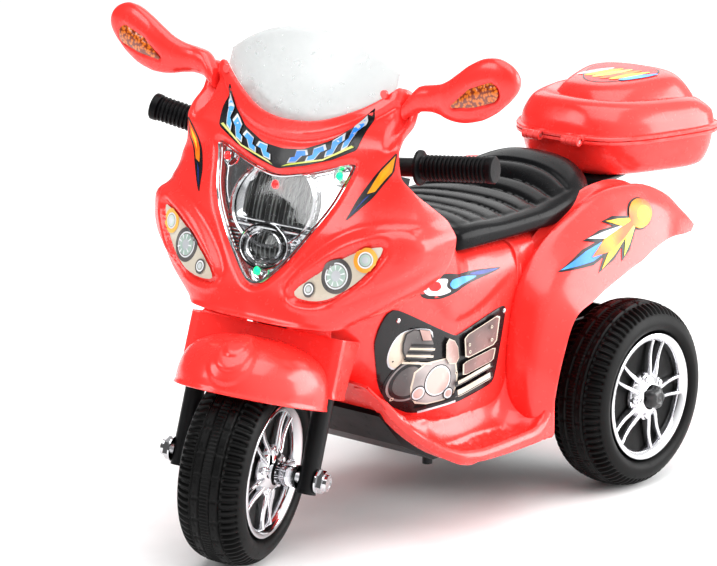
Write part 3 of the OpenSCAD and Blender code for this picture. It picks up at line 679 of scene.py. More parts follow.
def lamp_clear():
    return finish("lamp_clear", (0.97, 0.98, 0.98), 0.03, 200, 0.02, 0.0, transmission_weight=1.0, ior=1.45)


def screen_clear():
    return finish(
        "screen_clear", colours().screen, 0.2, 200, 0.02, 0.0, transmission_weight=0.6, ior=1.4,
        specular_ior_level=0.15,
    )


def ink(name, colour, other=None):
    """Printed film: one colour drifting into another under a clear gloss."""
    label = "ink_" + name
    if label in FINISHES:
        return FINISHES[label]
    material = finish(
        label, colour, 0.24, 900, 0.03, 0.1,
        coat_weight=0.1, coat_roughness=0.1, specular_ior_level=0.3,
    )

    def drift(recipe):
        share = recipe.span(recipe.noise(26.0, 1.0), 0.38, 0.62)
        return recipe.mix(share, rgba(colour), rgba(other or [c * 0.75 for c in colour]))

    return retint(material, drift)


def inks():
    c = colours()
    # Each ink's two colours
    pairs = {
        "black": ((0.004, 0.004, 0.005), (0.010, 0.010, 0.012)),
        "blue": (c.sky, (0.10, 0.42, 0.90)),
        "navy": ((0.010, 0.02, 0.16), (0.02, 0.05, 0.30)),
        "silver": ((0.45, 0.47, 0.50), (0.72, 0.74, 0.76)),
        "white": ((0.86, 0.86, 0.87), (0.72, 0.76, 0.80)),
        "lime": (c.lime, (0.80, 0.78, 0.30)),
        "sun": (c.sun, (0.95, 0.40, 0.01)),
        "flame": (c.flame, (0.95, 0.32, 0.01)),
        "scarlet": ((0.75, 0.01, 0.01), None),
        "steel": ((0.20, 0.19, 0.19), (0.42, 0.39, 0.38)),
        "smoke": ((0.07, 0.065, 0.065), (0.16, 0.145, 0.14)),
        "rose": ((0.30, 0.17, 0.15), (0.62, 0.46, 0.42)),
        "plum": ((0.12, 0.085, 0.08), (0.26, 0.14, 0.13)),
        "jade": ((0.35, 0.48, 0.42), (0.62, 0.72, 0.66)),
        "amber": ((0.90, 0.32, 0.03), (0.95, 0.50, 0.10)),
        "sand": ((0.55, 0.48, 0.38), (0.68, 0.63, 0.53)),
    }
    return {name: ink(name, *pair) for name, pair in pairs.items()}


def dress(obj, body, slot, *materials, replaces=()):
    """Rides a piece on its body and gives it its finish."""
    for material in materials:
        obj.data.materials.append(material)
    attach(obj, body)
    if replaces:
        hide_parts(*replaces)


# ---- front cowl ----
# Stations: [z, front y, rear edge y, half width, squareness]
COWL = [
    (238, 2, 42, 92, 2.8), (250, 6, 66, 116, 3), (262, 9, 80, 134, 3.2), (276, 14, 92, 151, 3.3),
    (292, 20, 101, 164, 3.4), (308, 25, 105, 170.5, 3.5), (322, 29, 106, 172.5, 3.5),
    (336, 34, 103, 165, 3.2), (350, 39, 90, 155, 2.6), (366, 45, 74, 144, 1.9), (382, 51, 67, 133, 1.5),
    (402, 60, 66, 131, 1.6), (414, 67, 72, 131, 1.6), (428, 76, 90, 132, 1.6), (452, 90, 99, 132, 1.8),
]
COWL_LOW = 238
COWL_HIGH = 452
COWL_COLUMNS = 150
COWL_ROWS = 112
RIM_LOW = 412
RIM_RISE = 44
RIM_W = 112
# Half of the headlight's outline and the outlines of lamp and pod: (x, z)
LENS_HALF = [
    (0, 268), (12, 272), (40, 300), (72, 345), (83, 378), (86, 386), (78, 386), (40, 374), (0, 366),
]
LAMP = [(44, 265), (72, 262), (98, 271), (122, 291), (141, 322), (124, 319), (102, 309), (72, 288)]
LAMP_POD = [
    (34, 264), (92, 261), (150, 288), (168, 305), (171, 320), (160, 337), (128, 337), (91, 325), (56, 297),
]
LENS_MIDDLE = 330
LAMP_SINK = 4.5
BROW_Z = 318


def lens_outline(scale=1.0):
    """The headlight's outline, scaled about its middle."""
    line = softened(mirrored(LENS_HALF), 2, cut=0.2)
    return [(p.x * scale, LENS_MIDDLE + (p.y - LENS_MIDDLE) * scale) for p in line]


def rim_z(x):
    """Height of the cowl's upper rim."""
    return RIM_LOW + RIM_RISE * (abs(x) / RIM_W) ** 2.2


def cowl_ring(z):
    front, rear, half, square = station(COWL, z)
    ring = []
    for k in range(-180, 181):
        a = math.radians(k / 180 * 89.5)
        x = half * power(math.sin(a), 2 / square)
        ring.append((x, rear - (rear - front) * math.cos(a) ** (2 / square), z))
    return even(ring, COWL_COLUMNS)


def cowl_front(x, z):
    """How far back the plain cowl is at a place."""
    front, rear, half, square = station(COWL, z)
    u = min(1.0, abs(x) / half) ** (square / 2)
    return rear - (rear - front) * math.sqrt(max(0.0, 1 - u * u)) ** (2 / square)


def cowl_net():
    """The plain cowl's net and the height of the rim at each of its columns."""
    rings = [cowl_ring(z) for z in range(COWL_LOW, COWL_HIGH + 1)]

    def spot(j, z):
        k = int(clamp(z - COWL_LOW, 0, len(rings) - 2))
        return rings[k][j].lerp(rings[k + 1][j], z - COWL_LOW - k)

    tops = []
    for j in range(COWL_COLUMNS):
        top = COWL_HIGH - 20
        for _ in range(6):
            top = min(COWL_HIGH, rim_z(spot(j, top).x))
        tops.append(top)
    rows = []
    for i in range(COWL_ROWS + 1):
        share = i / COWL_ROWS
        rows.append([spot(j, mix(COWL_LOW, tops[j], share)) for j in range(COWL_COLUMNS)])
    return rows, tops


def cowl_relief(lens, lamp, pod, tops):
    """Dished headlight edge, sunk lamps in raised pods, rolled rim and keel."""

    def amount(p, j):
        across = abs(p.x)
        lip = rise(0, 7, -depth_in(lens, p.x, p.z)) if 255 < p.z < 396 and across < 96 else 1
        size = 3.0 * (lip - 1)
        if p.z < 345:
            lamp_depth = depth_in(lamp, across, p.z)
            size -= LAMP_SINK * rise(-5, -1, lamp_depth)
            size += 0.9 * bump(lamp_depth, -8, 2.2)
            pod_depth = depth_in(pod, across, p.z)
            size += 4.0 * rise(-1, 7, pod_depth) - 0.8 * bump(pod_depth, -3, 2.0)
        size -= 8.5 * bump(across, 119, 4.5) * rise(398, 430, p.z)
        if across < RIM_W + 6:
            below = tops[j] - p.z
            size += 3.6 * (1 - rise(7, 12, below)) - 0.9 * bump(below, 14, 3)
        size += 0.8 * bump(across, 0, 12) * (1 - rise(246, 262, p.z))
        size += 1.6 * (1 - rise(0, 4, p.z - COWL_LOW))
        return size

    return amount


def make_cowl():
    lens = lens_outline()
    net, tops = cowl_net()
    rows = pushed(net, cowl_relief(lens, softened(LAMP, 2), softened(LAMP_POD, 2), tops))
    edge = rows[-1]
    for back, up in ((1.2, 1.8), (3.6, 2.6), (6.2, 1.8), (7.4, -0.4)):
        rows.append([p + Vector((0, back, up if abs(p.x) < RIM_W + 4 else 0.2 * up)) for p in edge])
    cowl = shell("front_cowl_shell", sheet(rows), place(0, 120, 340), sizes().wall)
    settle(cowl)
    cut_away(cowl, lens, -40, 140)
    dress(cowl, "vehicle", "red_shell", shell_red(), replaces=("front_cowl",))


# ---- windshield ----
SCREEN_W = 104
SCREEN_TOP = 499.5


def make_windshield():
    rows = []
    for i in range(15):
        share = i / 14
        row = []
        for j in range(61):
            u = j / 30 - 1
            x = SCREEN_W * u
            low = rim_z(x) + 3.5
            top = max(SCREEN_TOP - 32 * abs(u) ** 2.2, low + 2)
            y0, y1 = cowl_front(x, rim_z(x)) + 2.6, 97 + 4 * u * u
            bow = -5 * math.sin(math.pi * share) * (1 - u * u)
            row.append(Vector((x, mix(y0, y1, share) + bow, mix(low, top, share))))
        rows.append(row)
    screen = shell("windshield_sheet", sheet(rows), place(0, 400, 300), 2.2 * MM)
    bevelled(screen, 0.0006, angle=math.radians(30))
    settle(screen)
    dress(screen, "vehicle", "screen", screen_clear(), replaces=("windshield",))


# ---- headlight ----
# Round lamp and projector: middle height, half width and half height
BOWL = (340, 49, 38)
PROJECTOR = (302, 29, 19.5)
FIN_ROWS = 7
COVER_SHARE = 0.985
SMALL_LIGHTS = ((-70, 374), (0, 358), (70, 374), (0, 280))


def oval(kind, x, z):
    """How far out a place is in an oval of the lamp unit: 1 on its rim."""
    height, half, tall = kind
    return math.hypot(x / half, (z - height) / tall)


def lamp_depth_at(x, z):
    """How far behind the cowl's front the bright housing lies."""
    r, q = oval(BOWL, x, z), oval(PROJECTOR, x, z)
    depth = 9.0 + 9.0 * (1 - rise(0.78, 0.98, r)) - 2.5 * bump(r, 1.04, 0.04)
    depth = mix(depth, 10 + 8 * (1 - rise(0, 1, q)), 1 - rise(1.0, 1.12, q)) - 2.2 * bump(q, 1.08, 0.07)
    for side in (-1, 1):
        depth += 4 * (1 - rise(6, 10, math.hypot(x - side * 70, z - 374)))
    return depth + 4 * (1 - rise(5, 9, math.hypot(x, z - 279)))


def smoked_glass():
    """Dark glass with paler upright stripes, painted highlights that stand for the light its ribs catch."""
    if "smoked_glass" in FINISHES:
        return FINISHES["smoked_glass"]

    def painted_rib_highlights(recipe):
        across = recipe.add("ShaderNodeSeparateXYZ", {0: recipe.spot()}).outputs[0]
        wave = recipe.math("SINE", recipe.math("MULTIPLY", across, 1100.0))
        share = recipe.span(wave, 0.35, 0.95)
        # painted highlights: the paler grey stripes stand for light caught by the ribs of the glass
        return recipe.mix(share, (0.004, 0.004, 0.005, 1), (0.20, 0.21, 0.21, 1))

    dark = (0.004, 0.004, 0.005)
    return retint(
        finish("smoked_glass", dark, 0.08, 200, 0.02, 0.0, coat_weight=0.35, specular_ior_level=0.4), painted_rib_highlights
    )


def lamp_glass(name, kind, share, flute, bulge):
    """A dark glass over one lamp of the unit, cut off by the brow where that crosses it."""
    height, half, tall = kind
    rim = [(half * share * x, height + tall * share * z) for x, z in circle((0, 0), 1, 64)]
    flat, faces = patch(rim, 1.1)
    low = BROW_Z + 3 if kind is BOWL else 0
    points = []
    for x, z in flat:
        z = max(z, low)
        y = cowl_front(x, z) + 14 - bulge * (1 - oval(kind, x, z) ** 2)
        points.append((x, y + flute * abs(math.sin(math.pi * x / 8.0)), z))
    glass = add_mesh(name, points, faces)
    faced(glass, place(0, 300, 330))
    settle(glass, 60)
    dress(glass, "vehicle", "clear_lens", smoked_glass())


def crossing_bar(height, x0, x1, deep, tall, steps=9):
    """A bright bar across the lamp unit, following the cowl's curve."""
    rows = []
    ends = ((0, -1), (-1, -0.5), (-1, 0.5), (0, 1), (3, 1), (3, -1))
    for k in range(steps):
        x = mix(x0, x1, k / (steps - 1))
        y = cowl_front(x, height) + deep
        rows.append([(x, y + 1.4 * dy, height + tall * dz) for dy, dz in ends])
    return sheet(rows, around=True, caps=True)


def oval_ring(kind, share, deep, thick):
    """A bright ring round a lamp of the unit."""
    height, half, tall = kind
    rows = []
    section = ((-1, 3), (-1, 0), (0, -thick), (1, 0), (1, 3))
    for u, v in circle((0, 0), share, 72):
        x, z = half * u, height + tall * v
        out = Vector((x, 0, z - height)).normalized() * thick
        y = cowl_front(x, z) + deep
        rows.append([(x + k * out.x, y + back, z + k * out.z) for k, back in section])
    rows.append(rows[0])
    return sheet(rows)


def make_headlight():
    flat, faces = patch(lens_outline(1.02), 2.2)
    spots = [(x, cowl_front(x, z) + lamp_depth_at(x, z), z) for x, z in flat]
    housing = shell("headlight_housing", (spots, faces), place(0, 300, LENS_MIDDLE), 1.5 * MM)
    settle(housing, 50)
    dress(housing, "vehicle", "reflector_bright", plating(), replaces=("headlight_reflector",))

    flat, faces = patch(lens_outline(COVER_SHARE), 5)
    spots = [(x, cowl_front(x, z) + 1.6, z) for x, z in flat]
    cover = shell("headlight_cover", (spots, faces), place(0, 300, LENS_MIDDLE), 1.6 * MM)
    settle(cover)
    dress(cover, "vehicle", "clear_lens", lamp_clear(), replaces=("headlight_lens",))

    lamp_glass("round_lamp_glass", BOWL, 0.95, 2.6, 6)
    lamp_glass("projector_glass", PROJECTOR, 0.62, 0.0, 8)
    make_lamp_trim()
    make_small_lights()


def make_lamp_trim():
    """Bars under the round lamp, fins beside the projector, rings and the cover's bright edge."""
    parts = [crossing_bar(BROW_Z, -50, 50, 7, 1.6, 41), crossing_bar(BROW_Z + 5, -52, 52, 8, 0.9, 41)]
    for side in (-1, 1):
        for k in range(FIN_ROWS):
            z = 293 + 3.2 * k
            parts.append(crossing_bar(z, side * 33, side * (27 + (z - 268) * 0.9), 6.5, 0.7))
    for kind, share, deep, thick in ((BOWL, 1, 6, 1.6), (PROJECTOR, 1, 4, 1.5), (PROJECTOR, 0.7, 5, 1.1)):
        parts.append(oval_ring(kind, share, deep, thick))
    edge = lens_outline(COVER_SHARE)
    rows = []
    for x, z in edge + edge[:1]:
        inward = Vector((-x, 0, LENS_MIDDLE - z)).normalized() * 1.6
        y = cowl_front(x, z) + 0.4
        section = ((0, 2), (0, -0.6), (1, -0.2), (1, 2))
        rows.append([(x + k * inward.x, y + back, z + k * inward.z) for k, back in section])
    parts.append(sheet(rows))
    trim = add_mesh("headlight_bright_trim", *joined(parts))
    settle(trim, 40)
    dress(trim, "vehicle", "reflector_bright", plating())


def make_small_lights():
    arc = [math.radians(a) for a in range(0, 91, 10)]
    dome = [(max(4.2 * math.sin(a), 0.02), -3.4 * math.cos(a)) for a in arc]
    points, faces = revolved(dome, 24)
    bulbs = []
    for x, z in SMALL_LIGHTS:
        y = cowl_front(x, z) + 3.6
        bulbs.append(([(x + p[1], y + p[0], z + p[2]) for p in points], faces))
    lights = add_mesh("headlight_small_lights", *joined(bulbs))
    settle(lights, 60)
    dress(lights, "vehicle", "led_bulb", led_glow(), replaces=("headlight_leds",))


def led_glow():
    """Two small red and two green lights, told apart by which side of a slanting line they are on."""
    material = finish("led_glow", (0.9, 0.1, 0.1), 0.2, 300, 0.02, 0.0, emission_strength=2.2)
    recipe = Recipe(material.node_tree)
    spot = recipe.add("ShaderNodeSeparateXYZ", {"Vector": recipe.spot()})
    slant = recipe.math("ADD", spot.outputs["X"], recipe.math("SUBTRACT", 0.320, spot.outputs["Z"]))
    green = recipe.math("GREATER_THAN", slant, 0.0)
    tone = recipe.mix(green, (1.0, 0.01, 0.01, 1), (0.0, 0.62, 0.18, 1))
    recipe.join(material.node_tree.nodes["Principled BSDF"].inputs["Emission Color"], tone)
    return retint(material, lambda _: tone)


# ---- side lamps, printed in the cowl's sunk lamp hollows ----
LAMP_PRINT_LIFT = 0.9 * MM
# Rings of the print: (x, z, radius); the first has spokes and the second an amber surround
LAMP_RINGS = [(94, 289.5, 12), (121, 307, 7.5), (68, 274, 5)]


def make_side_lamps(cowl_tree):
    rings = []
    for k, (x, z, r) in enumerate(LAMP_RINGS):
        surround = "amber" if k == 1 else "smoke"
        widths = ((surround, r + (4 if k < 2 else 1.6), 40), ("white", r, 40), ("steel", r - 1.3, 40),
                  ("jade", r - 2.2, 40), ("silver", 0.42 * r, 30))
        rings += [(ink_name, circle((x, z), wide, steps)) for ink_name, wide, steps in widths]
    x, z, r = LAMP_RINGS[0]
    for k in range(9):
        a = math.radians(20 + 40 * k)
        spoke = [(0.42 * r, -0.05), (0.8 * r, -0.09), (0.8 * r, 0.09), (0.42 * r, 0.05)]
        rings.append(("white", [(x + q * math.cos(a + d), z + q * math.sin(a + d)) for q, d in spoke]))
    inner = [(x + (p.x - x) * 0.98, z + (p.y - z) * 0.97) for p in softened(LAMP, 2)]
    shapes = [("sand", inner)] + rings
    for side, label in SIDES:
        layers = [(ink_name, [(side * p[0], p[1]) for p in shape]) for ink_name, shape in shapes]
        sticker(
            label + "_lamp_print", "vehicle", layers,
            lambda lift: from_front(cowl_tree, lift + LAMP_PRINT_LIFT), 4,
            ("side_lamp_" + label,), "lamp_print",
        )


# ---- mirrors ----
# Stations along the arm and head: [x, middle y, middle z, half height, half depth]
MIRROR_STATIONS = [
    (118, 93, 436, 8, 7), (126, 95, 443, 11, 9), (134, 96, 449, 12, 9), (146, 96, 451, 12.5, 8.5),
    (158, 93.5, 452, 14, 8), (170, 90, 453.5, 17.5, 8), (184, 88, 457.5, 22.5, 8.5),
    (198, 87, 463, 26.5, 9), (212, 87, 468.5, 28, 9), (226, 87.5, 473.5, 25.5, 9),
    (238, 88, 477, 19.5, 8), (246, 88.5, 478.5, 13, 6.5), (250.5, 89, 479, 6.5, 4.5),
    (251.6, 89, 479.2, 1.5, 1.5),
]
MIRROR_MIDDLE = Vector((205, 91, 468))
# Circles that the outlines of reflector and glass go round: (x, z, radius)
REFLECTOR = [(182, 450.5, 1.2), (206, 461.5, 8.6), (226, 468.5, 9)]
GLASS = [(197, 463, 17), (221, 472, 15)]


def turns_in(a, b, c):
    """Whether the way from a over b to c turns right or goes straight on."""
    return (b[0] - a[0]) * (c[1] - a[1]) <= (b[1] - a[1]) * (c[0] - a[0])


def hull_of(circles):
    """Outline round a row of circles."""
    spots = []
    for x, z, r in circles:
        spots += circle((x, z), r, 48)
    spots.sort()
    sides = []
    for order in (spots, spots[::-1]):
        line = []
        for p in order:
            while len(line) > 1 and turns_in(line[-2], line[-1], p):
                line.pop()
            line.append(p)
        sides += line[:-1]
    return even([(p[0], p[1], 0) for p in sides], 64, closed=True)


def amber_reflector():
    """Amber plastic with darker lines between small cells."""

    def honeycomb(recipe):
        share = recipe.span(recipe.cells(330.0), 0.42, 0.62)
        return recipe.mix(share, rgba(colours().amber), (0.22, 0.025, 0.002, 1))

    amber = finish("amber_reflector", colours().amber, 0.12, 330, 1.0, 0.05, pebbled=True, coat_weight=0.8)
    return retint(amber, honeycomb)


def mirror_rows(reflector, glass):
    """Rings along an arm and its head, sunk where the reflector and the glass go."""
    rows = []
    for n in range(70):
        x = mix(MIRROR_STATIONS[0][0], MIRROR_STATIONS[-1][0], 1 - (1 - n / 69) ** 1.3)
        y, z, high, deep = station(MIRROR_STATIONS, x)
        row = []
        for k in range(56):
            a = 2 * math.pi * k / 56
            at = Vector((x, y + deep * power(math.sin(a), 0.8), z + high * power(math.cos(a), 0.9)))
            if at.y < y:
                at.y += 2.2 * rise(-2.5, 0.5, depth_in(reflector, at.x, at.z))
            elif x > 170:
                at.y -= 1.8 * rise(-2.5, 0.5, depth_in(glass, at.x, at.z))
            row.append(at)
        rows.append(row)
    return rows


def make_mirrors():
    reflector, glass = hull_of(REFLECTOR), hull_of(GLASS)
    silvered = finish("mirror_silver", (0.85, 0.87, 0.88), 0.03, 200, 0.01, 0.0, metallic=1.0)
    # Outline, depth at the middle and at the rim, name, slot, finish and CAD node
    inlays = (
        (reflector, 78.0, 79.7, "_reflector", "amber_lens", amber_reflector(), "mirror_reflector_"),
        (glass, 95.2, 94.0, "_looking_glass", "mirror_glass", silvered, "mirror_glass_"),
    )
    net = sheet(mirror_rows(reflector, glass), around=True, caps=True)
    for side, label in SIDES:
        turn = sided(side)
        body = add_mesh(label + "_mirror_body", *net, turn)
        faced(body, turn @ MIRROR_MIDDLE)
        settle(body, 50)
        dress(body, "vehicle", "red_shell", shell_red(), replaces=("mirror_" + label,))
        for outline, middle_y, rim_y, name, slot, material, node in inlays:
            flat, faces = patch([(p.x, p.y) for p in outline], 3)
            domed = [(x, mix(rim_y, middle_y, rise(0, 5, depth_in(outline, x, z))), z) for x, z in flat]
            piece = shell(label + name, (domed, faces), turn @ MIRROR_MIDDLE, 1.2 * MM, turn)
            settle(piece, 50)
            dress(piece, "vehicle", slot, material, replaces=(node + label,))


# ---- front fender, on the fork ----
# Stations up the dome: [s, half width, reach]
DOME = [
    (66, 74.3, 82), (76, 74.1, 81.5), (88, 72.5, 79), (99, 68.3, 73), (107, 61.7, 64), (113, 52.4, 52),
    (118, 39.3, 37), (121, 25.2, 22), (122.4, 9.4, 8),
]
DOME_BACK = -14
WING_HALF = 80
WING_FRONT = -17
WING_BACK = 13
WING_LOW = 78
WING_TOP = 134
NECK_TOP = 148.5


def crest(p):
    """Nested egg-shaped swells at the top of the dome's front."""
    size = 0.0
    for k in range(3):
        reach = 1 - 0.27 * k
        x = p.x / (21 * reach)
        z = (p.z - (97 + 6 * k)) / (22 * reach)
        size += 2.0 * rise(1.12, 0.86, math.hypot(x, z))
    return size if p.y < -40 else size * rise(-20, -40, p.y)


def dome_rows():
    rows = []
    for i in range(60):
        s = mix(DOME[0][0], DOME[-1][0], (i / 59) ** 0.8)
        half, reach = station(DOME, s)
        turns = [math.radians(k) for k in range(-90, 91)]
        arc = [(half * math.sin(a), DOME_BACK - reach * math.cos(a), s) for a in turns]
        rows.append(even(arc, 110))
    low = DOME[0][0]
    return pushed(rows, lambda p, _: crest(p) + 1.2 * (1 - rise(low, low + 4, p.z)))


def wing_rows():
    """The square skirt behind the dome, deeper towards its top."""
    w = WING_HALF
    corners = [(-w, WING_BACK), (-w, WING_FRONT), (w, WING_FRONT), (w, WING_BACK)]
    section = even([(p[0], p[1], 0) for p in softened(corners, 3, closed=False, cut=0.06)], 90)
    rows = []
    for i in range(24):
        s = mix(WING_LOW, WING_TOP, i / 23)
        wide = 1 - 1.5 / WING_HALF * rise(WING_LOW, WING_LOW + 6, s)
        deep = 1 + 0.6 * i / 23
        rows.append([(p.x * wide, (p.y - WING_FRONT) * deep + WING_FRONT, s) for p in section])
    return rows


def neck_rows(side):
    """The shoulder that closes one side of the skirt's top, clear of the steering head."""
    rows = []
    for i in range(8):
        share = i / 7
        outer = mix(66, 58, share)
        y, z = mix(WING_FRONT, -5, share), mix(WING_TOP - 1, NECK_TOP, share)
        rows.append([(side * mix(20, outer, j / 11), y, z) for j in range(12)])
    return rows


def make_front_fender():
    parts = [sheet(rows) for rows in (dome_rows(), wing_rows(), neck_rows(1), neck_rows(-1))]
    inside = STEERED @ Vector((0, 10, 90))
    fender = shell("front_fender_shell", joined(parts), inside, 2.6 * MM, STEERED)
    bevelled(fender, 0.7 * MM)
    settle(fender)
    dress(fender, "steering", "red_shell", shell_red(), replaces=("front_fender",))


# ---- body shell ----
# Stations back along the body: [y, half width, bottom, top, squareness, taper]
LOWER_BODY = [
    (62, 62, 200, 318, 3, 0.16), (90, 72, 166, 332, 3, 0.22), (130, 82, 116, 338, 3.4, 0.20),
    (170, 86, 84, 330, 4, 0.12), (198, 88, 75, 312, 5, 0.05), (212, 88, 74, 284, 6, 0),
    (230, 88, 73, 272, 6.5, 0), (250, 88, 72, 272, 7, 0), (308, 88, 76, 272, 7, 0),
]
UPPER_BODY = [
    (300, 88, 150, 272, 7, 0), (312, 86, 176, 272, 6, 0), (400, 84, 182, 272, 6, 0),
    (455, 84, 186, 273, 6, 0), (475, 84, 188, 286, 5, 0), (502, 76, 205, 286, 4, 0),
    (522, 66, 224, 280, 3.4, 0), (530, 58, 232, 273, 3, 0),
]
TANK = [
    (66, 50, 318, 2.6), (72, 60, 338, 2.6), (120, 68, 346, 2.6), (165, 66, 344, 2.6), (200, 60, 334, 2.6),
    (228, 46, 317, 2.4), (244, 32, 299, 2.2), (250, 20, 285, 2.2),
]
# Stations back along the footboards: [y, half width, bottom, top, squareness]
BOARD = [
    (94, 72, 160, 166, 3), (110, 82, 140, 147, 3), (126, 93, 119, 127, 3), (140, 105, 103, 112, 3),
    (157, 119, 88, 99, 3.5), (176, 128, 79, 92, 4.5), (200, 132, 76, 90, 5), (240, 134, 76, 91, 6),
    (270, 134, 76, 92, 6), (304, 133, 78, 94, 6),
]
# Outlines on a footboard, as (across, back): its tread and the heel rest in it
BOARD_TREAD = [
    (100, 176), (114, 170), (123, 182), (125, 230), (123, 256), (114, 266), (102, 262), (99, 220),
]
HEEL = [(101, 190), (116, 190), (120, 204), (118, 222), (104, 222), (100, 206)]
# Hollow fillets where a board meets the body's side, and the column behind it
BODY_HALF = 88
SIDE_COVE = 24
COLUMN_COVE = 30
COLUMN_Y = 284
# Fender stations round the rear axle: [angle, ridge radius, ridge x, edge radius, edge x]
REAR_FENDER = [
    (53, 187, 114, 183, 122), (60, 197, 113, 172, 130), (69, 206, 112, 163, 136), (80, 210, 108, 150, 139),
    (92, 208, 102, 138, 141), (107, 201, 98, 134, 141), (124, 197, 94, 138, 141), (137, 189, 92, 148, 140),
    (152, 172, 92, 142, 139), (168, 158, 93, 138, 137), (184, 150, 94, 136, 132),
]
FENDER_INNER_X = 78
# Outline of the engine panel, and the crease above it, as (y, z)
ENGINE_PANEL = [
    (105, 203), (107, 220), (112, 232), (119, 236.5), (128, 234), (200, 196), (208, 195), (277, 211.5),
    (281, 206), (264, 141), (256, 134.5), (176, 124), (156, 125), (138, 135), (120, 157),
]
PANEL_CREASE = [(100, 236), (140, 244), (160, 240), (207, 208), (296, 236), (320, 242)]


def body_rows(table, step):
    """Sections of the body, with the tank rising out of their tops."""
    rows = []
    count = int((table[-1][0] - table[0][0]) / step) + 1
    for n in range(count + 1):
        y = mix(table[0][0], table[-1][0], n / count)
        half, low, high, square, taper = station(table, y)
        middle, tall = (low + high) / 2, (high - low) / 2
        ring = []
        for k in range(-62, 243):
            a = math.radians(k)
            up = power(math.sin(a), 2 / square)
            x = half * power(math.cos(a), 2 / square) * (1 + taper * up)
            z = middle + tall * up
            if up > 0 and TANK[0][0] < y < TANK[-1][0]:
                wide, top, tank_square = station(TANK, y)
                if abs(x) < wide:
                    arch = (1 - (abs(x) / wide) ** tank_square) ** (1 / tank_square)
                    roof = 240 + (top - 240) * arch
                    z = max(z, roof) + 2.0 * bump(z - roof, 0, 5)
            ring.append((x, y, z))
        rows.append(even(ring, 150))
    return rows


def body_relief(p, _):
    """The side's bulge above the engine panel's crease; this net's own normals point inwards."""
    if abs(p.x) < 50 or p.z <= 150 or p.y >= 305:
        return 0.0
    over = p.z - station(PANEL_CREASE, p.y)[0]
    return -3.2 * rise(0, 7, over) * rise(308, 250, p.y) * rise(300, 282, p.z)


def board_rows():
    rows = []
    for n in range(76):
        y = mix(BOARD[0][0], BOARD[-1][0], n / 75)
        half, low, high, square = station(BOARD, y)
        ring = []
        for k in range(-50, 231):
            a = math.radians(k)
            x = half * power(math.cos(a), 2 / square)
            z = (low + high) / 2 + (high - low) / 2 * power(math.sin(a), 2 / square)
            if a > 0 and z > low + 2:
                column = COLUMN_Y + 0.45 * max(0.0, abs(x) - 93)
                z += cove(abs(x) - BODY_HALF, clamp(0.75 * (half - BODY_HALF), 1, SIDE_COVE))
                z += cove(column - y, COLUMN_COVE)
            ring.append((x, y, z))
        rows.append(even(ring, 200))
    return rows


def cove(away, radius):
    """Height of a hollow fillet at a distance from the wall it climbs."""
    return radius - math.sqrt(radius**2 - (radius - clamp(away, 0, radius)) ** 2)


def board_relief(p, _):
    """Rolled lip along the outer edge, grooved tread inside it; these normals point inwards too."""
    across = abs(p.x)
    if p.z < 80 or across < 78:
        return 0.0
    half = station(BOARD, p.y)[0]
    size = 3.0 * bump(across, half - 5, 3.5)
    tread = depth_in(BOARD_TREAD, across, p.y)
    size -= 1.6 * rise(-1.5, 1.0, tread) + 1.2 * rise(-1, 2, depth_in(HEEL, across, p.y))
    pitch = 100 / sizes().board_grooves
    size -= 1.2 * rise(0, 2, tread) * bump((p.y + 0.25 * across) % pitch, pitch / 2, 1.1)
    return -size


def fender_rows(side):
    """Sections round a rear wheel: a shallow groove inside the ridge, then down to the edge."""
    rows = []
    for n in range(90):
        angle = mix(REAR_FENDER[0][0], REAR_FENDER[-1][0], n / 89)
        ridge_r, ridge_x, edge_r, edge_x = station(REAR_FENDER, angle)
        line = [
            (FENDER_INNER_X, ridge_r), (mix(FENDER_INNER_X, ridge_x, 0.45), ridge_r - 5),
            (ridge_x, ridge_r + 1), ((ridge_x + edge_x) / 2 + 4, (ridge_r + edge_r) / 2 + 8),
            (edge_x, edge_r),
        ]
        line = softened(line, 3, closed=False, cut=0.16)
        c, s = math.cos(math.radians(angle)), math.sin(math.radians(angle))
        rows.append(even([(side * x, REAR_Y + r * c, WHEEL_R + r * s) for x, r in line], 40))
    return rows


def make_body():
    # Each net with a place inside it
    nets = [
        (pushed(body_rows(LOWER_BODY, 3.0), body_relief), place(0, 250, 180)),
        (body_rows(UPPER_BODY, 3.5), place(0, 350, 180)),
        (pushed(board_rows(), board_relief), place(0, 250, 80)),
    ]
    nets += [(fender_rows(side), place(side * 100, REAR_Y, WHEEL_R)) for side in (1, -1)]
    shells = [shell("body_part", sheet(rows), inside, sizes().wall) for rows, inside in nets]
    body = merged("body_shell_skin", [settle(part) for part in shells])
    settle(body, 34)
    dress(body, "vehicle", "red_shell", shell_red(), replaces=("body_shell",))


def merged(name, objects):
    """One object holding the meshes of several, which are removed."""
    mesh = bpy.data.meshes.new(name)
    both = bmesh.new()
    for obj in objects:
        both.from_mesh(obj.data)
        bpy.data.objects.remove(obj)
    both.to_mesh(mesh)
    both.free()
    return linked(name, mesh)


# ---- seat ----
# Stations back along the seat: [y, half width, top, squareness]
SEAT = [
    (209, 78, 293, 3.2), (214, 84, 301, 3.2), (240, 87, 304, 3), (290, 88, 300, 3), (340, 88, 301, 3),
    (380, 87, 309, 2.8), (412, 82, 321, 2.6), (440, 70, 327, 2.6), (460, 52, 320, 2.4),
]
SEAT_FRONT, SEAT_BACK = SEAT[0][0], SEAT[-1][0]
SEAT_FLOOR = 272
SEAT_SPLIT = 12
PLEATED = (232, 412)
# Rings that close each end: share of the ring's size, and how far out
SEAT_CLOSING = ((0.9, 2.0), (0.5, 3.2), (0.02, 3.6))
# The back is tucked in: it closes from this many rings inside the last
BACK_TUCK = 3


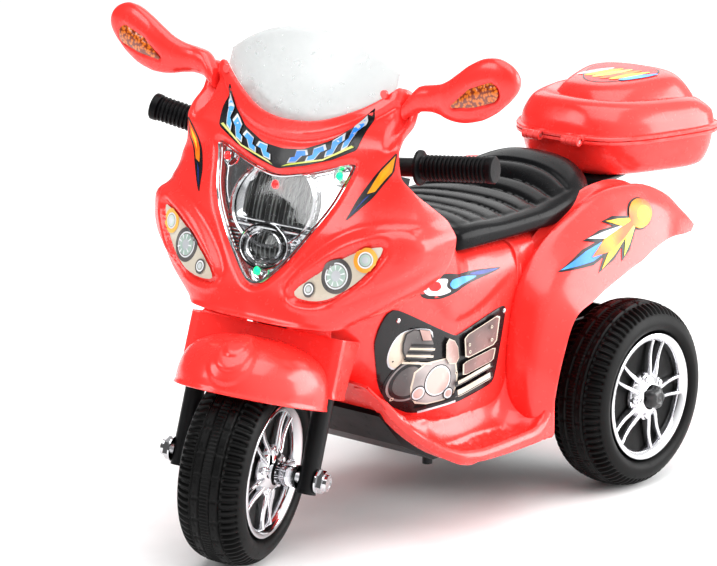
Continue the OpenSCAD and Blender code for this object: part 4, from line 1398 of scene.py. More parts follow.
def pleat_depth(p):
    """Depth of the sewn-looking channels that curve across the top."""
    if p.z < SEAT_FLOOR + 16:
        return 0.0
    across = abs(p.x)
    along = p.y + 16 * (across / 80) ** 2
    pitch = (PLEATED[1] - PLEATED[0]) / sizes().seat_pleats
    inside = rise(PLEATED[0] - 3, PLEATED[0] + 6, along) * rise(PLEATED[1] + 6, PLEATED[1] - 3, along)
    inside *= rise(78, 66, across)
    phase = ((along - PLEATED[0]) % pitch) / pitch
    channel = 1 - (1 - abs(2 * phase - 1) ** 3)
    border = bump(across, 74, 2.4) * rise(225, 240, p.y) * rise(420, 400, p.y)
    return sizes().pleat_depth / MM * (channel * inside + 0.35 * border)


def make_seat():
    rows = []
    for n in range(130):
        y = mix(SEAT_FRONT, SEAT_BACK, n / 129)
        half, high, square = station(SEAT, y)
        end = 1 - 0.10 * bump(y, SEAT_BACK, 7) - 0.06 * bump(y, SEAT_FRONT, 5)
        ring = []
        for k in range(360):
            a = math.radians(k)
            up = math.sin(a) > 0
            t = power(math.sin(a), 2 / square if up else 0.25)
            tall = (high - SEAT_FLOOR - SEAT_SPLIT) * end if up else SEAT_SPLIT - 0.5
            x = half * end * power(math.cos(a), 2 / square)
            ring.append((x, y, SEAT_FLOOR + SEAT_SPLIT + tall * t))
        rows.append(even(ring, 170, closed=True))
    rows = pushed(rows, lambda p, _: pleat_depth(p), around=True)
    front, back = seat_end(rows[0], -1), seat_end(rows[-1 - BACK_TUCK], 1)
    seat = add_mesh("pleated_seat", *sheet(front[::-1] + rows + back, around=True))
    faced(seat, place(0, 330, 285))
    settle(seat, 50)
    dress(seat, "vehicle", "seat_skin", satin_black(), replaces=("seat",))


def seat_end(ring, y_step):
    """Rings that close the seat from one of its rings, outwards along y."""
    middle = sum(ring, Vector()) / len(ring)
    return [
        [middle.lerp(p, share) + Vector((0, y_step * out, 0)) for p in ring] for share, out in SEAT_CLOSING
    ]


# ---- trunk ----
TRUNK_FRONT_Y = 476
TRUNK_LEN = 172
TRUNK_HALF = (70, 114)
TRUNK_RIM = 335
TRUNK_MID_Y = TRUNK_FRONT_Y + TRUNK_LEN / 2
HINGE_X = 25
HINGE_Y = TRUNK_FRONT_Y - 7.6
# Level rings up each shell: [height, growth, slope, squareness]
TUB = [
    (295, -21, 0, 3.6), (297.5, -15, 0, 3.6), (303, -10.5, 0, 3.5), (316, -6, 0, 3.5), (327, -3.5, 0, 3.4),
    (330, -3, 0, 3.4),
]
LID = [
    (340, -2, 0, 3.4), (350, -4, 0, 3.4), (358, -8, -0.03, 3.3), (364, -13, -0.05, 3.2),
    (368, -20, -0.05, 3.1), (370, -30, -0.05, 3.0),
]
POD = [
    (360, 9, 0.05, 3), (370, 3, 0.05, 3), (379, -4, 0.06, 2.9), (384.4, -12, 0.07, 2.7),
    (385.6, -18, 0.07, 2.6),
]
# Rolled rims where the two shells meet: (height, growth)
TUB_RIM = ((330.4, -1.5), (330.8, 1.2), (331.6, 2), (333.8, 2), (334.5, 1.3))
LID_RIM = ((335.1, 1.3), (335.6, 2), (338.2, 2), (339.0, 1.4), (339.5, -1.0))
# Middle, half length and half widths at front and back of the trunk's rings and of the pod's
TRUNK_PLAN = (TRUNK_MID_Y, TRUNK_LEN / 2, *TRUNK_HALF)
POD_PLAN = (576, 60, 42, 70)


def trunk_ring(z, grow, slope=0.0, square=3.4, count=132, plan=TRUNK_PLAN):
    middle, reach, front_half, back_half = plan
    ring = []
    for k in range(360):
        a = math.radians(k)
        v = power(math.sin(a), 2 / square)
        y = middle + (reach + grow) * v
        wide = mix(front_half, back_half, (v + 1) / 2) + grow
        ring.append((wide * power(math.cos(a), 2 / square), y, z + slope * (y - middle)))
    return even(ring, count, closed=True)


def lofted(table, steps, plan=TRUNK_PLAN):
    """Rings at even heights through a table of stations."""
    heights = [mix(table[0][0], table[-1][0], k / (steps - 1)) for k in range(steps)]
    return [trunk_ring(z, *station(table, z), plan=plan) for z in heights]


def closing_rings(ring, rise_by, steps=8):
    """Rings that close a loft's end, crowned by rise_by in the middle."""
    middle = sum(ring, Vector()) / len(ring)
    rings = []
    for k in range(1, steps + 1):
        share = k / steps
        lift = rise_by * math.sin(share * math.pi / 2)
        rings.append([middle.lerp(p, max(1 - share, 0.004)) + Vector((0, 0, lift)) for p in ring])
    return rings


def knuckles(offsets, width, leaf_low):
    """Hinge barrels with their leaves, as a net for each."""
    half = width / 2
    outline = [
        (2.1, -half), (4.6, -half), (5, 0.5 - half), (5, half - 0.5), (4.6, half), (2.1, half),
        (2.1, -half),
    ]
    leaf = ((2, leaf_low), (13, leaf_low), (13, leaf_low + 5), (2, leaf_low + 5))
    parts = []
    for x in (-HINGE_X, HINGE_X):
        for offset in offsets:
            parts.append(revolved(outline, 32, (x + offset, HINGE_Y, TRUNK_RIM)))
            ends = (x + offset - half, x + offset + half)
            rows = [[(end, HINGE_Y + y, TRUNK_RIM + z) for y, z in leaf] for end in ends]
            parts.append(sheet(rows, around=True, caps=True))
    return parts


def make_trunk():
    rows = lofted(TUB, 27)
    rows = closing_rings(rows[0], 0)[::-1] + rows + [trunk_ring(z, g) for z, g in TUB_RIM]
    tub = shell("trunk_tub", sheet(rows, around=True), place(0, TRUNK_MID_Y, 320), sizes().wall)
    settle(tub)
    hinge = add_mesh("tub_hinge", *joined(knuckles((0,), 8, -5.4)))
    tub = merged("trunk_tub", [tub, settle(hinge)])
    settle(tub)
    dress(tub, "vehicle", "red_shell", shell_red(), replaces=("trunk_base",))

    foot = [(p.x, p.y) for p in trunk_ring(0, 5, 0, 3, 60, POD_PLAN)]

    def moat(p, _):
        return -3.0 * rise(-9, -2, depth_in(foot, p.x, p.y)) if p.z > 360 else 0.0

    rows = [trunk_ring(z, g) for z, g in LID_RIM] + lofted(LID, 35)
    rows = pushed(rows + closing_rings(rows[-1], 1.0), moat, around=True)
    lid = shell("lid_part", sheet(rows, around=True), place(0, TRUNK_MID_Y, 345), sizes().wall)
    rows = lofted(POD, 35, POD_PLAN)
    pod = add_mesh("lid_part", *sheet(rows + closing_rings(rows[-1], 0.6), around=True))
    faced(pod, place(0, POD_PLAN[0], 372))
    hinge = add_mesh("lid_hinge", *joined(knuckles((-7.6, 7.6), 6, 0.2)))
    lid = merged("trunk_lid_shell", [settle(lid), settle(pod), settle(hinge)])
    settle(lid, 30)
    dress(lid, "trunk_cover", "red_shell", shell_red(), replaces=("trunk_lid",))


# ---- stickers and printed panels ----
# Each of these gives what lays a drawing's places on a surface, by rays from well outside it
def from_side(side, tree, lift):
    """Lays (y, z) places on a side of the body."""
    return lambda y, z: laid_on(tree, place(side * 400, y, z), Vector((-side, 0, 0)), lift)


def from_front(tree, lift):
    """Lays (x, z) places on the front."""
    return lambda x, z: laid_on(tree, place(x, -300, z), Vector((0, 1, 0)), lift)


def from_corner(side, tree, lift):
    """Lays (across, up) places seen from halfway between the front and a side."""
    inwards = Vector((-side, 1, 0)).normalized()

    def lay(u, z):
        return laid_on(tree, place(side * (u + 400) * SIN_45, (u - 400) * SIN_45, z), inwards, lift)

    return lay


def from_above(tree, lift):
    """Lays (x, y) places on the top."""
    return lambda x, y: laid_on(tree, place(x, y, 700), Vector((0, 0, -1)), lift)


def sticker(name, body, layers, laying, cell=4.0, replaces=(), slot="red_shell"):
    """Flat shapes, each a named ink and an outline, laid one over the other on a surface."""
    print_of = inks()
    names = sorted({ink_name for ink_name, _ in layers})
    parts, marks = [], []
    for number, (ink_name, outline) in enumerate(layers):
        flat, faces = patch([(p[0], p[1]) for p in outline], cell)
        lay = laying(sizes().sticker_lift * (1 + 0.35 * number))
        parts.append(([lay(*spot) for spot in flat], faces))
        marks.extend([names.index(ink_name)] * len(faces))
    obj = add_mesh(name, *joined(parts), Matrix.Identity(4))
    obj.data.polygons.foreach_set("material_index", marks)
    settle(obj, 60)
    dress(obj, body, slot, *[print_of[n] for n in names], replaces=replaces)


def on_both_sides(name, layers, laying):
    """The same sticker on each side, laid by laying(side, lift)."""
    for side, label in SIDES:
        sticker(label + name, "vehicle", layers, lambda lift, s=side: laying(s, lift))


def moved(outline, origin, turn=0.0):
    """An outline drawn about the origin, turned by degrees and moved to a place."""
    c, s = math.cos(math.radians(turn)), math.sin(math.radians(turn))
    return [(origin[0] + p[0] * c - p[1] * s, origin[1] + p[0] * s + p[1] * c) for p in outline]


SIN_45 = 0.7071
# Outline of the dart on the cowl's corner, as (across, up), from its top
DART = [(139, 404), (136, 384), (117, 360), (91, 337), (103, 357), (124, 386)]
# Places of the tank's streaks and of the comet's head, as (y, z)
SWOOSH = (143, 249)
COMET = (450, 277)
# Half of the band under the windshield, and its lower and upper edges as [share, x, z]
BAND = [
    (0, 391), (24, 393), (53, 404), (74, 419), (91, 438), (90, 420), (86, 400), (60, 388), (30, 379),
    (0, 373),
]
BAND_LOWER = [(0, 0, 373), (0.3, 30, 379), (0.6, 60, 388), (1, 87, 401)]
BAND_UPPER = [(0, 0, 391), (0.3, 28, 394), (0.6, 56, 405.5), (1, 91, 438)]


def band_shape(spots, side):
    """A shape in the band, from places (share along the half, share from lower to upper edge)."""
    shape = []
    for u, v in spots:
        lower, upper = station(BAND_LOWER, u), station(BAND_UPPER, u)
        shape.append((side * mix(lower[0], upper[0], v), mix(lower[1], upper[1], v)))
    return shape


def make_band(cowl_tree):
    layers = [("black", softened(mirrored(BAND), 1, cut=0.08))]
    slash = [
        (0, 0.24), (0.10, 0.24), (0.17, 0.60), (0.24, 0.62), (0.22, 0.94), (0.09, 0.94), (0.08, 0.55),
        (0.02, 0.52),
    ]
    reed = [(0.05, 0.08), (0.5, 0.08), (0.93, 0.10), (0.88, 0.20), (0.5, 0.17), (0.12, 0.19)]
    for side in (1, -1):
        for k in range(4):
            start = 0.10 + 0.205 * k
            rim = [(min(0.985, start + u * 0.98), v) for u, v in slash]
            core = [(min(0.975, start + 0.02 + u * 0.78), mix(0.59, v, 0.82)) for u, v in slash]
            layers += [("silver", band_shape(rim, side)), ("blue", band_shape(core, side))]
        layers.append(("lime", band_shape(reed, side)))
    sticker("cowl_band_print", "vehicle", layers, lambda lift: from_front(cowl_tree, lift))


def make_cowl_stripes(cowl_tree):
    """A slim dart down each side of the cowl."""
    outer = softened(DART, 1, cut=0.1)
    warm = [(137.5, 400), (134.5, 385), (119, 365.5), (112, 363), (124.5, 384)]
    core = [(134, 393), (131, 384), (122, 373), (126, 383)]
    tail = [(109, 358), (115, 363), (100, 347), (96, 343)]
    layers = [("black", outer), ("flame", warm), ("sun", core), ("navy", tail)]
    on_both_sides("_cowl_stripe", layers, lambda side, lift: from_corner(side, cowl_tree, lift))


def make_swooshes(body_tree):
    """Slipping streaks on each side of the tank."""
    base = [
        (0, 4), (12, -8), (32, -12), (54, -10), (84, -5), (140, 0), (96, 5), (62, 7), (44, 12), (20, 13),
        (6, 10),
    ]
    white = [(5, 4), (15, -5), (33, -8.5), (50, -7), (40, -1), (44, 7), (20, 10), (9, 8)]
    sky = [(52, -6), (70, -4), (96, -1), (72, 3), (50, 5), (45, 0)]
    dash = [(98, -1), (132, 0), (100, 3.4), (78, 3.4)]
    ring = [(14, 4), (19, -1), (28, -3), (34, 0), (30, 6), (20, 8)]
    shapes = (("black", base), ("white", white), ("blue", sky), ("navy", dash), ("scarlet", ring))
    layers = [(n, moved(softened(shape, 2, cut=0.2), SWOOSH)) for n, shape in shapes]
    on_both_sides("_tank_streaks", layers, lambda side, lift: from_side(side, body_tree, lift))


def tongue(length, width, bend, start=0.0):
    """A tapering tongue, bent more and more along its length."""
    steps = (0, 0.15, 0.4, 0.7)
    swell = [0.5 * width * math.sin(math.pi * (1 - t) ** 0.6) for t in steps]
    middle = [(start + length * t, bend * t * t) for t in steps]
    upper = [(x, y + w) for (x, y), w in zip(middle, swell)]
    lower = [(x, y - w) for (x, y), w in zip(middle[:0:-1], swell[:0:-1])]
    return upper + [(start + length, bend)] + lower


def make_flashes(body_tree):
    """A comet of tapering tongues on each rear fender."""
    head = circle((0, 0), 18, 36, 0.66)
    shapes = [("black", [(x * 1.1, z * 1.14) for x, z in head])]
    for length, width, bend in ((130, 17, -12), (92, 14, 11), (58, 15, 19), (84, 14, -19), (50, 15, -20)):
        shapes.append(("black", tongue(length, width, bend, -2)))
    for ink_name, length, width, bend in (
        ("blue", 124, 11, -12), ("sun", 84, 8, 10.5), ("lime", 50, 8, 17), ("silver", 76, 8, -18),
        ("sun", 44, 8, -18), ("flame", 86, 13, -4),
    ):
        shapes.append((ink_name, tongue(length, width, bend)))
    shapes += [("flame", head), ("sun", circle((-3, 1.5), 10, 30, 0.6))]
    layers = [(n, moved(shape, COMET, 203)) for n, shape in shapes]
    on_both_sides("_fender_comet", layers, lambda side, lift: from_side(side, body_tree, lift))


def make_lid_print(lid_tree):
    rim = [(p.x, p.y) for p in trunk_ring(0, -20, 0, 2.5, 72, POD_PLAN)]
    middle = POD_PLAN[0]
    layers = [("black", rim), ("scarlet", [(p[0] * 0.95, middle + (p[1] - middle) * 0.95) for p in rim])]
    wedge = [(0, -22), (9, -20), (20, 0), (25, 20), (12, 8), (5, -6)]
    for k, ink_name in enumerate(("silver", "sun", "lime", "flame", "sun", "blue")):
        shape = [(-36 + 11 * k + p[0], middle + p[1] * (1.25 - 0.08 * abs(k - 3))) for p in wedge]
        layers.append((ink_name, softened(shape, 1)))
    sticker("lid_print", "trunk_cover", layers, lambda lift: from_above(lid_tree, lift))


# Gap behind the printed panel, and its thickness
PANEL_GAP = 0.3 * MM
PANEL_THICK = 1.6 * MM
PANEL_FACE = PANEL_GAP + PANEL_THICK
RIVET = [(0.05, 1.3), (1.6, 1.1), (2.4, 0.6), (2.7, 0), (2.7, -1.5)]


def make_engine_panels(body_tree):
    outline = softened(ENGINE_PANEL, 2, cut=0.18)
    art = engine_art()
    film = ink("panel", (0.004, 0.004, 0.0045), (0.008, 0.008, 0.009))
    rivets = []
    for side, label in SIDES:
        flat, faces = patch([(p.x, p.y) for p in outline], 5)
        lay = from_side(side, body_tree, PANEL_GAP)
        panel = add_mesh(label + "_engine_panel", [lay(*spot) for spot in flat], faces, Matrix.Identity(4))
        faced(panel, place(0, 200, 180))
        modify(panel, "SOLIDIFY", thickness=PANEL_THICK, offset=1)
        bevelled(panel, 0.0007)
        settle(panel, 40)
        dress(panel, "vehicle", "engine_print", film, replaces=("engine_panel_" + label,))
        sticker(
            label + "_engine_print", "vehicle", art,
            lambda lift, s=side: from_side(s, body_tree, PANEL_FACE + lift), 5, slot="engine_print",
        )
        for name in ("panel_front_rivet", "panel_rear_rivet"):
            spot = BUILT.inverted() @ seen_at(name, body_tree, PANEL_FACE)
            points, head_faces = revolved(RIVET, 24, spot)
            rivets.append(([(side * p[0], p[1], p[2]) for p in points], head_faces))
            SHOWN[name] = BUILT @ (spot + Vector((1, 0, 0)))
    heads = add_mesh("panel_rivet_heads", *joined(rivets))
    settle(heads, 40)
    dress(heads, "vehicle", "zinc_steel", zinc(), replaces=("engine_panel_rivets",))


def strip(middle, length, width, turn=0.0):
    bar = [(-0.5, -0.5), (0.5, -0.5), (0.5, 0.5), (-0.5, 0.5)]
    return moved([(p[0] * length, p[1] * width) for p in bar], middle, turn)


def framed(ink_name, shape, rim="sand", inset=0.93):
    """A shape with a narrow rim in another ink."""
    middle = sum((Vector(p[:2]) for p in shape), Vector((0, 0))) / len(shape)
    inner = [(mix(middle.x, p[0], inset), mix(middle.y, p[1], inset)) for p in shape]
    return [(rim, shape), (ink_name, inner)]


def engine_art():
    """A plain single-cylinder engine: case, covers, finned barrel, air box and two pipes."""
    back_cover = [(126, 212), (118, 190), (126, 172), (160, 176), (176, 206), (150, 214)]
    case = [(152, 176), (202, 176), (207, 150), (200, 134), (162, 132), (150, 146)]
    barrel = [(136, 216), (166, 208), (174, 190), (166, 178), (140, 182), (132, 196)]
    art = framed("sand", softened(back_cover, 2), "silver")
    for ink_name, r in (("black", 23), ("steel", 20.5), ("black", 18.5), ("smoke", 15)):
        art.append((ink_name, circle((147, 160), r, 48)))
    art += framed("steel", softened(case, 1))
    for middle, r in (((181, 155), 15), ((160, 146), 6.5), ((194, 140), 5)):
        for ink_name, grow in (("black", 1), ("silver", 0), ("rose", -1.6)):
            art.append((ink_name, circle(middle, r + grow, 40)))
    art += framed("smoke", softened(barrel, 1), "black")
    for k in range(6):
        fin = strip((153 + k, 178 + 3.4 * k), 36 - k, 2.1, -12)
        art.append(("black" if k % 2 else "sand", fin))
    art += framed("rose", [(150, 213), (164, 209), (168, 198), (156, 200)], "black")
    art += framed("rose", softened([(186, 198), (202, 190), (206, 168), (188, 170)], 1))
    upper_box = [(212, 193), (268, 205), (262, 176), (214, 170)]
    lower_box = [(210, 167), (261, 173), (257, 160), (210, 154)]
    for box in (upper_box, lower_box):
        art += framed("plum", softened(box, 1, cut=0.1))
    for z, width in ((152, 5.5), (142, 8)):
        art += framed("sand", strip((228, z), 56, width, 9), "black", 0.86)
        art.append(("smoke", strip((228, z - 0.3 * width), 54, 1.2, 9)))
    art += [("silver", strip((182, 129.5), 40, 2.2, 5)), ("black", strip((182, 131.8), 38, 1.2, 5))]
    for spot in ((124, 186), (134, 146), (200, 160), (218, 184), (252, 195), (252, 182), (218, 177)):
        art += [("sand", circle(spot, 1.7, 20)), ("black", circle(spot, 0.8, 16))]
    return art


# ---- wheels ----
# Half of the tyre's section, and sections of the covers' rim, hub and lug nuts: (radius, x)
TYRE = [
    (60, 19.5), (64.5, 20.2), (66, 27), (69, 32), (74, 34), (79, 33.2), (84, 31), (89.2, 26.4),
    (92.2, 20.5), (94.2, 13), (94.9, 5), (95, 0),
]
TYRE_WEB = [(62, 20), (30, 19), (10.6, 20), (10.6, 33.5), (6.3, 34), (6.3, 10)]
COVER_RIM = [
    (55.5, 20.6), (56, 25), (57.5, 28.4), (60, 30.6), (62.5, 31.4), (64.6, 31.2), (65, 29.4), (64.6, 27),
]
COVER_HUB = [(11, 20.6), (11, 31), (13, 32.2), (17, 31.2), (22, 28.6), (24.5, 25), (25, 20.6)]
COVER_LUG = [
    (0.05, 32.6), (1.6, 32.6), (3.0, 31.8), (3.3, 30.8), (3.3, 29.4), (4.6, 29.0), (5.0, 27.5), (5.4, 24),
]
LUG_CIRCLE_R = 19.5
SPOKE_PAIRS = 5
STEPS_PER_LUG = 8
REAR_WHEEL_X = 123


def tread(lug_count):
    """Depth cut into the tyre at an angle and a place across it, in millimetres."""

    def depth(angle, x):
        across = abs(x)
        beat = (angle / (2 * math.pi) * lug_count + (0.5 if x < 0 else 0)) % 1.0
        cut = 0.0
        if 15.5 < across < 31:
            cut = 3.2 * rise(0.30, 0.20, abs(beat - 0.5)) * rise(31, 28, across)
        cut = max(cut, 2.0 * rise(1.6, 0.6, abs(across - 14.2)), 1.6 * rise(1.2, 0.4, abs(across - 5.4)))
        if 6.4 < across < 13.4:
            block = (angle / (2 * math.pi) * lug_count / 3) % 1.0
            cut = max(cut, 1.2 * rise(0.10, 0.03, abs(block - 0.5)))
            if abs(block - 0.5) < 0.30:
                cut = max(cut, 1.0 * rise(0.9, 0.3, abs(across - 10)))
        if across < 4.8:
            cut = max(cut, 0.9 * rise(0.30, 0.18, abs((2 * beat) % 1.0 - 0.5)))
        return cut

    return depth


def tyre_net():
    half = softened([(p[0], p[1]) for p in TYRE], 2, closed=False, cut=0.2)
    line = [(p.x, -p.y) for p in half] + [(p.x, p.y) for p in half[::-1]]
    section = even([(p[0], p[1], 0) for p in line], 92)
    depth = tread(sizes().tread_lugs)
    steps = sizes().tread_lugs * STEPS_PER_LUG
    rows = []
    for p in section:
        ring = []
        for k in range(steps):
            a = 2 * math.pi * k / steps
            r = p.x - (depth(a, p.y) if p.x > 80 else 0.0)
            ring.append((p.y, r * math.cos(a), r * math.sin(a)))
        rows.append(ring)
    parts = [sheet(rows, around=True)]
    for side in (-1, 1):
        parts.append(revolved([(r, side * x) for r, x in TYRE_WEB], 96))
    return joined(parts)


def spoke_rows(turn, side):
    """One slim spoke of a pair, from the hub to the rim."""
    rows = []
    for m in range(13):
        t = m / 12
        r = mix(20, 57.5, t)
        middle = side * mix(5.0, 9.0, t)
        wide = mix(2.4, 1.7, t)
        top = mix(29.8, 26.8, rise(0, 0.6, t)) + 1.2 * rise(0.75, 1, t)
        half = [(20.6, 1.0), (top - 1.6, 1.0), (top - 0.4, 0.72), (top, 0.3)]
        ring = []
        for x, across in [(x, -d) for x, d in half] + half[::-1]:
            off = middle + across * wide
            y = r * math.cos(turn) - off * math.sin(turn)
            ring.append((x, y, r * math.sin(turn) + off * math.cos(turn)))
        rows.append(ring)
    return rows


def cover_net():
    """A wheel cover: bright rim, pairs of slim spokes that spread outwards, hub star and lug nuts."""
    parts = [revolved(COVER_RIM, 120), revolved(COVER_HUB, 80)]
    nut_points, nut_faces = revolved(COVER_LUG, 24)
    for k in range(SPOKE_PAIRS):
        turn = 2 * math.pi * k / SPOKE_PAIRS
        for side in (-1, 1):
            parts.append(sheet(spoke_rows(turn, side), around=True, caps=True))
        a = turn + math.pi / SPOKE_PAIRS
        y, z = LUG_CIRCLE_R * math.cos(a), LUG_CIRCLE_R * math.sin(a)
        parts.append(([(p[0], p[1] + y, p[2] + z) for p in nut_points], nut_faces))
    return joined(parts)


def wheel_frames():
    """Name, axes and body of each wheel."""
    frames = [("front", STEERED, "front_wheel")]
    for side, label in SIDES:
        hub = Matrix.Translation((side * (REAR_WHEEL_X * MM), REAR.y, REAR.z))
        frames.append(("rear_" + label, hub @ Matrix.Scale(MM, 4), "rear_wheel_" + label))
    return frames


def make_wheels():
    tyre_parts, cover_parts = tyre_net(), cover_net()
    for label, matrix, body in wheel_frames():
        tyre = add_mesh(label + "_tyre_moulding", *tyre_parts, matrix)
        faced(tyre, matrix @ Vector((0, 0, 0)))
        settle(tyre, 38)
        dress(tyre, body, "tyre", tyre_black(), replaces=(label + "_tyre",))
        for side, face in SIDES:
            if label != "front" and face not in label:
                continue
            node = "front_cap_" + face if label == "front" else label + "_cap"
            cover = add_mesh(label + "_" + face + "_cover", *cover_parts, sided(side, matrix))
            if side < 0:
                cover.data.flip_normals()
            bevelled(cover, 0.0004, segments=1, angle=0.9)
            settle(cover, 40)
            dress(cover, body, "hub_chrome", plating(), replaces=(node,))


def make_axle_caps():
    """Dark lobed caps that cover the rear axle's nuts and ends."""
    dark = finish("dark_cap", (0.012, 0.012, 0.013), 0.25, 500, 0.1, 0.2, specular_ior_level=0.5)
    profile = [
        (11, 155), (11.3, 158), (10.8, 162), (9, 164.6), (6, 165.8), (5.2, 165.2), (2, 165.2), (0.1, 165.6),
    ]
    points, faces = revolved(profile, 60, (0, REAR_Y, WHEEL_R))
    lobed = []
    for x, y, z in points:
        out = Vector((0, y - REAR_Y, z - WHEEL_R))
        swell = 1 + 0.09 * math.cos(5 * math.atan2(out.z, out.y)) * rise(5, 9, out.length)
        lobed.append((x, REAR_Y + out.y * swell, WHEEL_R + out.z * swell))
    for side, label in SIDES:
        turn = sided(side)
        cap = add_mesh("rear_" + label + "_axle_cap", lobed, faces, turn)
        faced(cap, turn @ Vector((150, REAR_Y, WHEEL_R)))
        settle(cap, 40)
        dress(cap, "vehicle", "black_plastic", dark, replaces=("rear_axle_nuts",))


# ---- pedal spring ----
SPRING_TURNS = 5
SPRING_WIRE_R = 0.5 * MM


def make_pedal_spring():
    """A steel coil under the tread."""
    low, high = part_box("pedal_spring")
    middle = (low + high) / 2
    climb = high.z - low.z - 2 * SPRING_WIRE_R
    reach = (high.x - low.x) / 2 - SPRING_WIRE_R
    steps = SPRING_TURNS * 28
    rows = []
    for n in range(steps + 1):
        a = 2 * math.pi * SPRING_TURNS * n / steps
        out = Vector((math.cos(a), math.sin(a), 0))
        at = Vector((middle.x, middle.y, low.z + SPRING_WIRE_R + climb * n / steps))
        section = circle((0, 0), SPRING_WIRE_R, 8)
        rows.append([at + out * (reach + across) + Vector((0, 0, up)) for across, up in section])
    coil = add_mesh("pedal_coil_spring", *sheet(rows, around=True, caps=True), Matrix.Identity(4))
    settle(coil, 40)
    steel = finish("spring_steel", (0.42, 0.42, 0.43), 0.3, metallic=1.0)
    dress(coil, "vehicle", "zinc_steel", steel, replaces=("pedal_spring",))
    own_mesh(coil)


# ---- grips ----
GRIP_IN = Vector((99, 37, 306))
GRIP_OUT = Vector((174, 30, 316.5))


def make_grips():
    length = (GRIP_OUT - GRIP_IN).length
    collar = [(9.3, 0), (15.2, 0), (16.8, 0.8), (17, 2), (16.6, 3.4), (14, 4.6), (11.2, 5.4)]
    rib = ((10.6, 0), (10.6, 0.30), (12.1, 0.42), (12.5, 0.62), (12.1, 0.84))
    end = ((10.8, -5), (12.9, -4), (13.1, -2), (13.1, 1.5), (12, 2.8), (5, 3), (0.1, 3))
    pitch = (length - 12) / sizes().grip_ribs
    profile = collar
    for k in range(sizes().grip_ribs):
        profile += [(r, 6.5 + (k + share) * pitch) for r, share in rib]
    profile += [(r, length + x) for r, x in end]
    points, faces = revolved(profile, 48)
    axis = (GRIP_OUT - GRIP_IN).normalized()
    aim = Vector((1, 0, 0)).rotation_difference(axis).to_matrix().to_4x4()
    for side, label in SIDES:
        matrix = STEERED @ (MIRROR if side < 0 else Matrix.Identity(4)) @ Matrix.Translation(GRIP_IN) @ aim
        grip = add_mesh(label + "_ribbed_grip", points, faces, matrix)
        faced(grip, matrix @ Vector((length / 2, 0, 0)))
        settle(grip, 35)
        rubber = finish(
            "grip_rubber", colours().trim, 0.38, 900, 0.25, 0.1, pebbled=True, specular_ior_level=0.1
        )
        dress(grip, "steering", "rubber_grip", rubber, replaces=("grip_" + label,))


# ---- finishes of the CAD parts that show as they are ----
def make_finishes():
    nylon = finish("gear_nylon", (0.78, 0.76, 0.68), 0.42, 700, 0.1, 0.1, subsurface_weight=0.15)
    finishes = (
        (shell_red(), ("handlebar_cover", "windshield_screws")),
        (trim_black(), ("chassis_pan", "steering_head", "fork", "handlebar", "gearbox_case",
                        "switch_console", "trunk_bracket", "battery_strap", "accelerator_pedal")),
        (zinc(), ("seat_screw", "front_axle", "rear_axle", "motor_pinion", "trunk_hinge_pins",
                  "drive_motor")),
        (plating(), ("front_axle_nuts", "front_spacers")),
        (nylon, ("reduction_gear", "output_gear", "steering_bushes")),
        (finish("pale_panel", (0.60, 0.61, 0.61), 0.4), ("cowl_inner_panel",)),
        (finish("horn_yellow", colours().sun, 0.3), ("horn_button",)),
        (finish("music_blue", colours().sky, 0.3), ("music_button",)),
        (finish("switch_red", (0.7, 0.02, 0.02), 0.3), ("power_switch",)),
        (finish("switch_grey", (0.05, 0.05, 0.055), 0.35), ("direction_switch",)),
        (finish("battery_case", (0.05, 0.05, 0.06), 0.45, 300, 0.2), ("battery",)),
    )
    for material, names in finishes:
        for name in names:
            slots = frame["nodes"][name].data.materials
            slots.clear()
            slots.append(material)


# ---- studio ----
# Name, place, size and watts of each soft light
LIGHTS = [
    ("overhead", (0.3, -0.5, 2.6), 2.6, 68),
    ("right_side", (2.3, 1.9, 1.0), 2.4, 130),
    ("front_left", (-1.4, -2.4, 1.8), 1.2, 26),
    ("behind", (-1.2, 2.2, 1.6), 2.0, 18),
]
LIT_PLACE = Vector((0, 0, 0.25))
# The room is bright on this side and dim on the other
BRIGHT_SIDE = (0.83, 0.42, 0.36)


def make_room(scene):
    """White behind the object, and a room brighter on one side for what shines."""
    world = bpy.data.worlds.new("pale_room")
    world.use_nodes = True
    recipe = Recipe(world.node_tree)
    direction = recipe.add("ShaderNodeTexCoord").outputs["Generated"]
    facing = recipe.add("ShaderNodeVectorMath", {0: direction, 1: BRIGHT_SIDE}, operation="DOT_PRODUCT")
    room = recipe.span(facing.outputs["Value"], -0.2, 0.9, 0.14, 1.5)
    seen = recipe.add("ShaderNodeLightPath").outputs["Is Camera Ray"]
    unseen = recipe.math("MULTIPLY", room, recipe.math("SUBTRACT", 1.0, seen))
    background = world.node_tree.nodes["Background"]
    background.inputs["Color"].default_value = (1, 1, 1, 1)
    recipe.join(background.inputs["Strength"], recipe.math("ADD", seen, unseen))
    scene.world = world


def stood(name, data, spot, facing):
    """A camera or light at a place."""
    obj = linked(name, data)
    obj.location = spot
    obj.rotation_mode = "QUATERNION"
    obj.rotation_quaternion = facing
    return obj


def make_studio():
    scene = bpy.context.scene
    scene.view_settings.view_transform = "Standard"
    camera = bpy.data.cameras.new("photo_camera")
    camera.lens = LENS
    camera.sensor_width = SENSOR
    camera.sensor_fit = "AUTO"
    camera.clip_end = 50
    scene.camera = stood("photo_camera", camera, CAMERA_PLACE, camera_axes())
    for name, spot, size, watts in LIGHTS:
        light = bpy.data.lights.new(name, "AREA")
        light.size = size
        light.energy = watts * sizes().light
        stood(name, light, spot, (LIT_PLACE - Vector(spot)).to_track_quat("-Z", "Y"))
    make_room(scene)
    marks = [14 * (i - 8) / 8 for i in range(17)]
    rows = [[(x, y, 0) for x in marks] for y in marks]
    floor = add_mesh("studio_floor", *sheet(rows), Matrix.Identity(4))
    faced(floor, Vector((0, 0, -1)))
    floor.data.materials.append(finish("studio_floor", colours().floor, 0.8, 40, 0.02, 0.0))


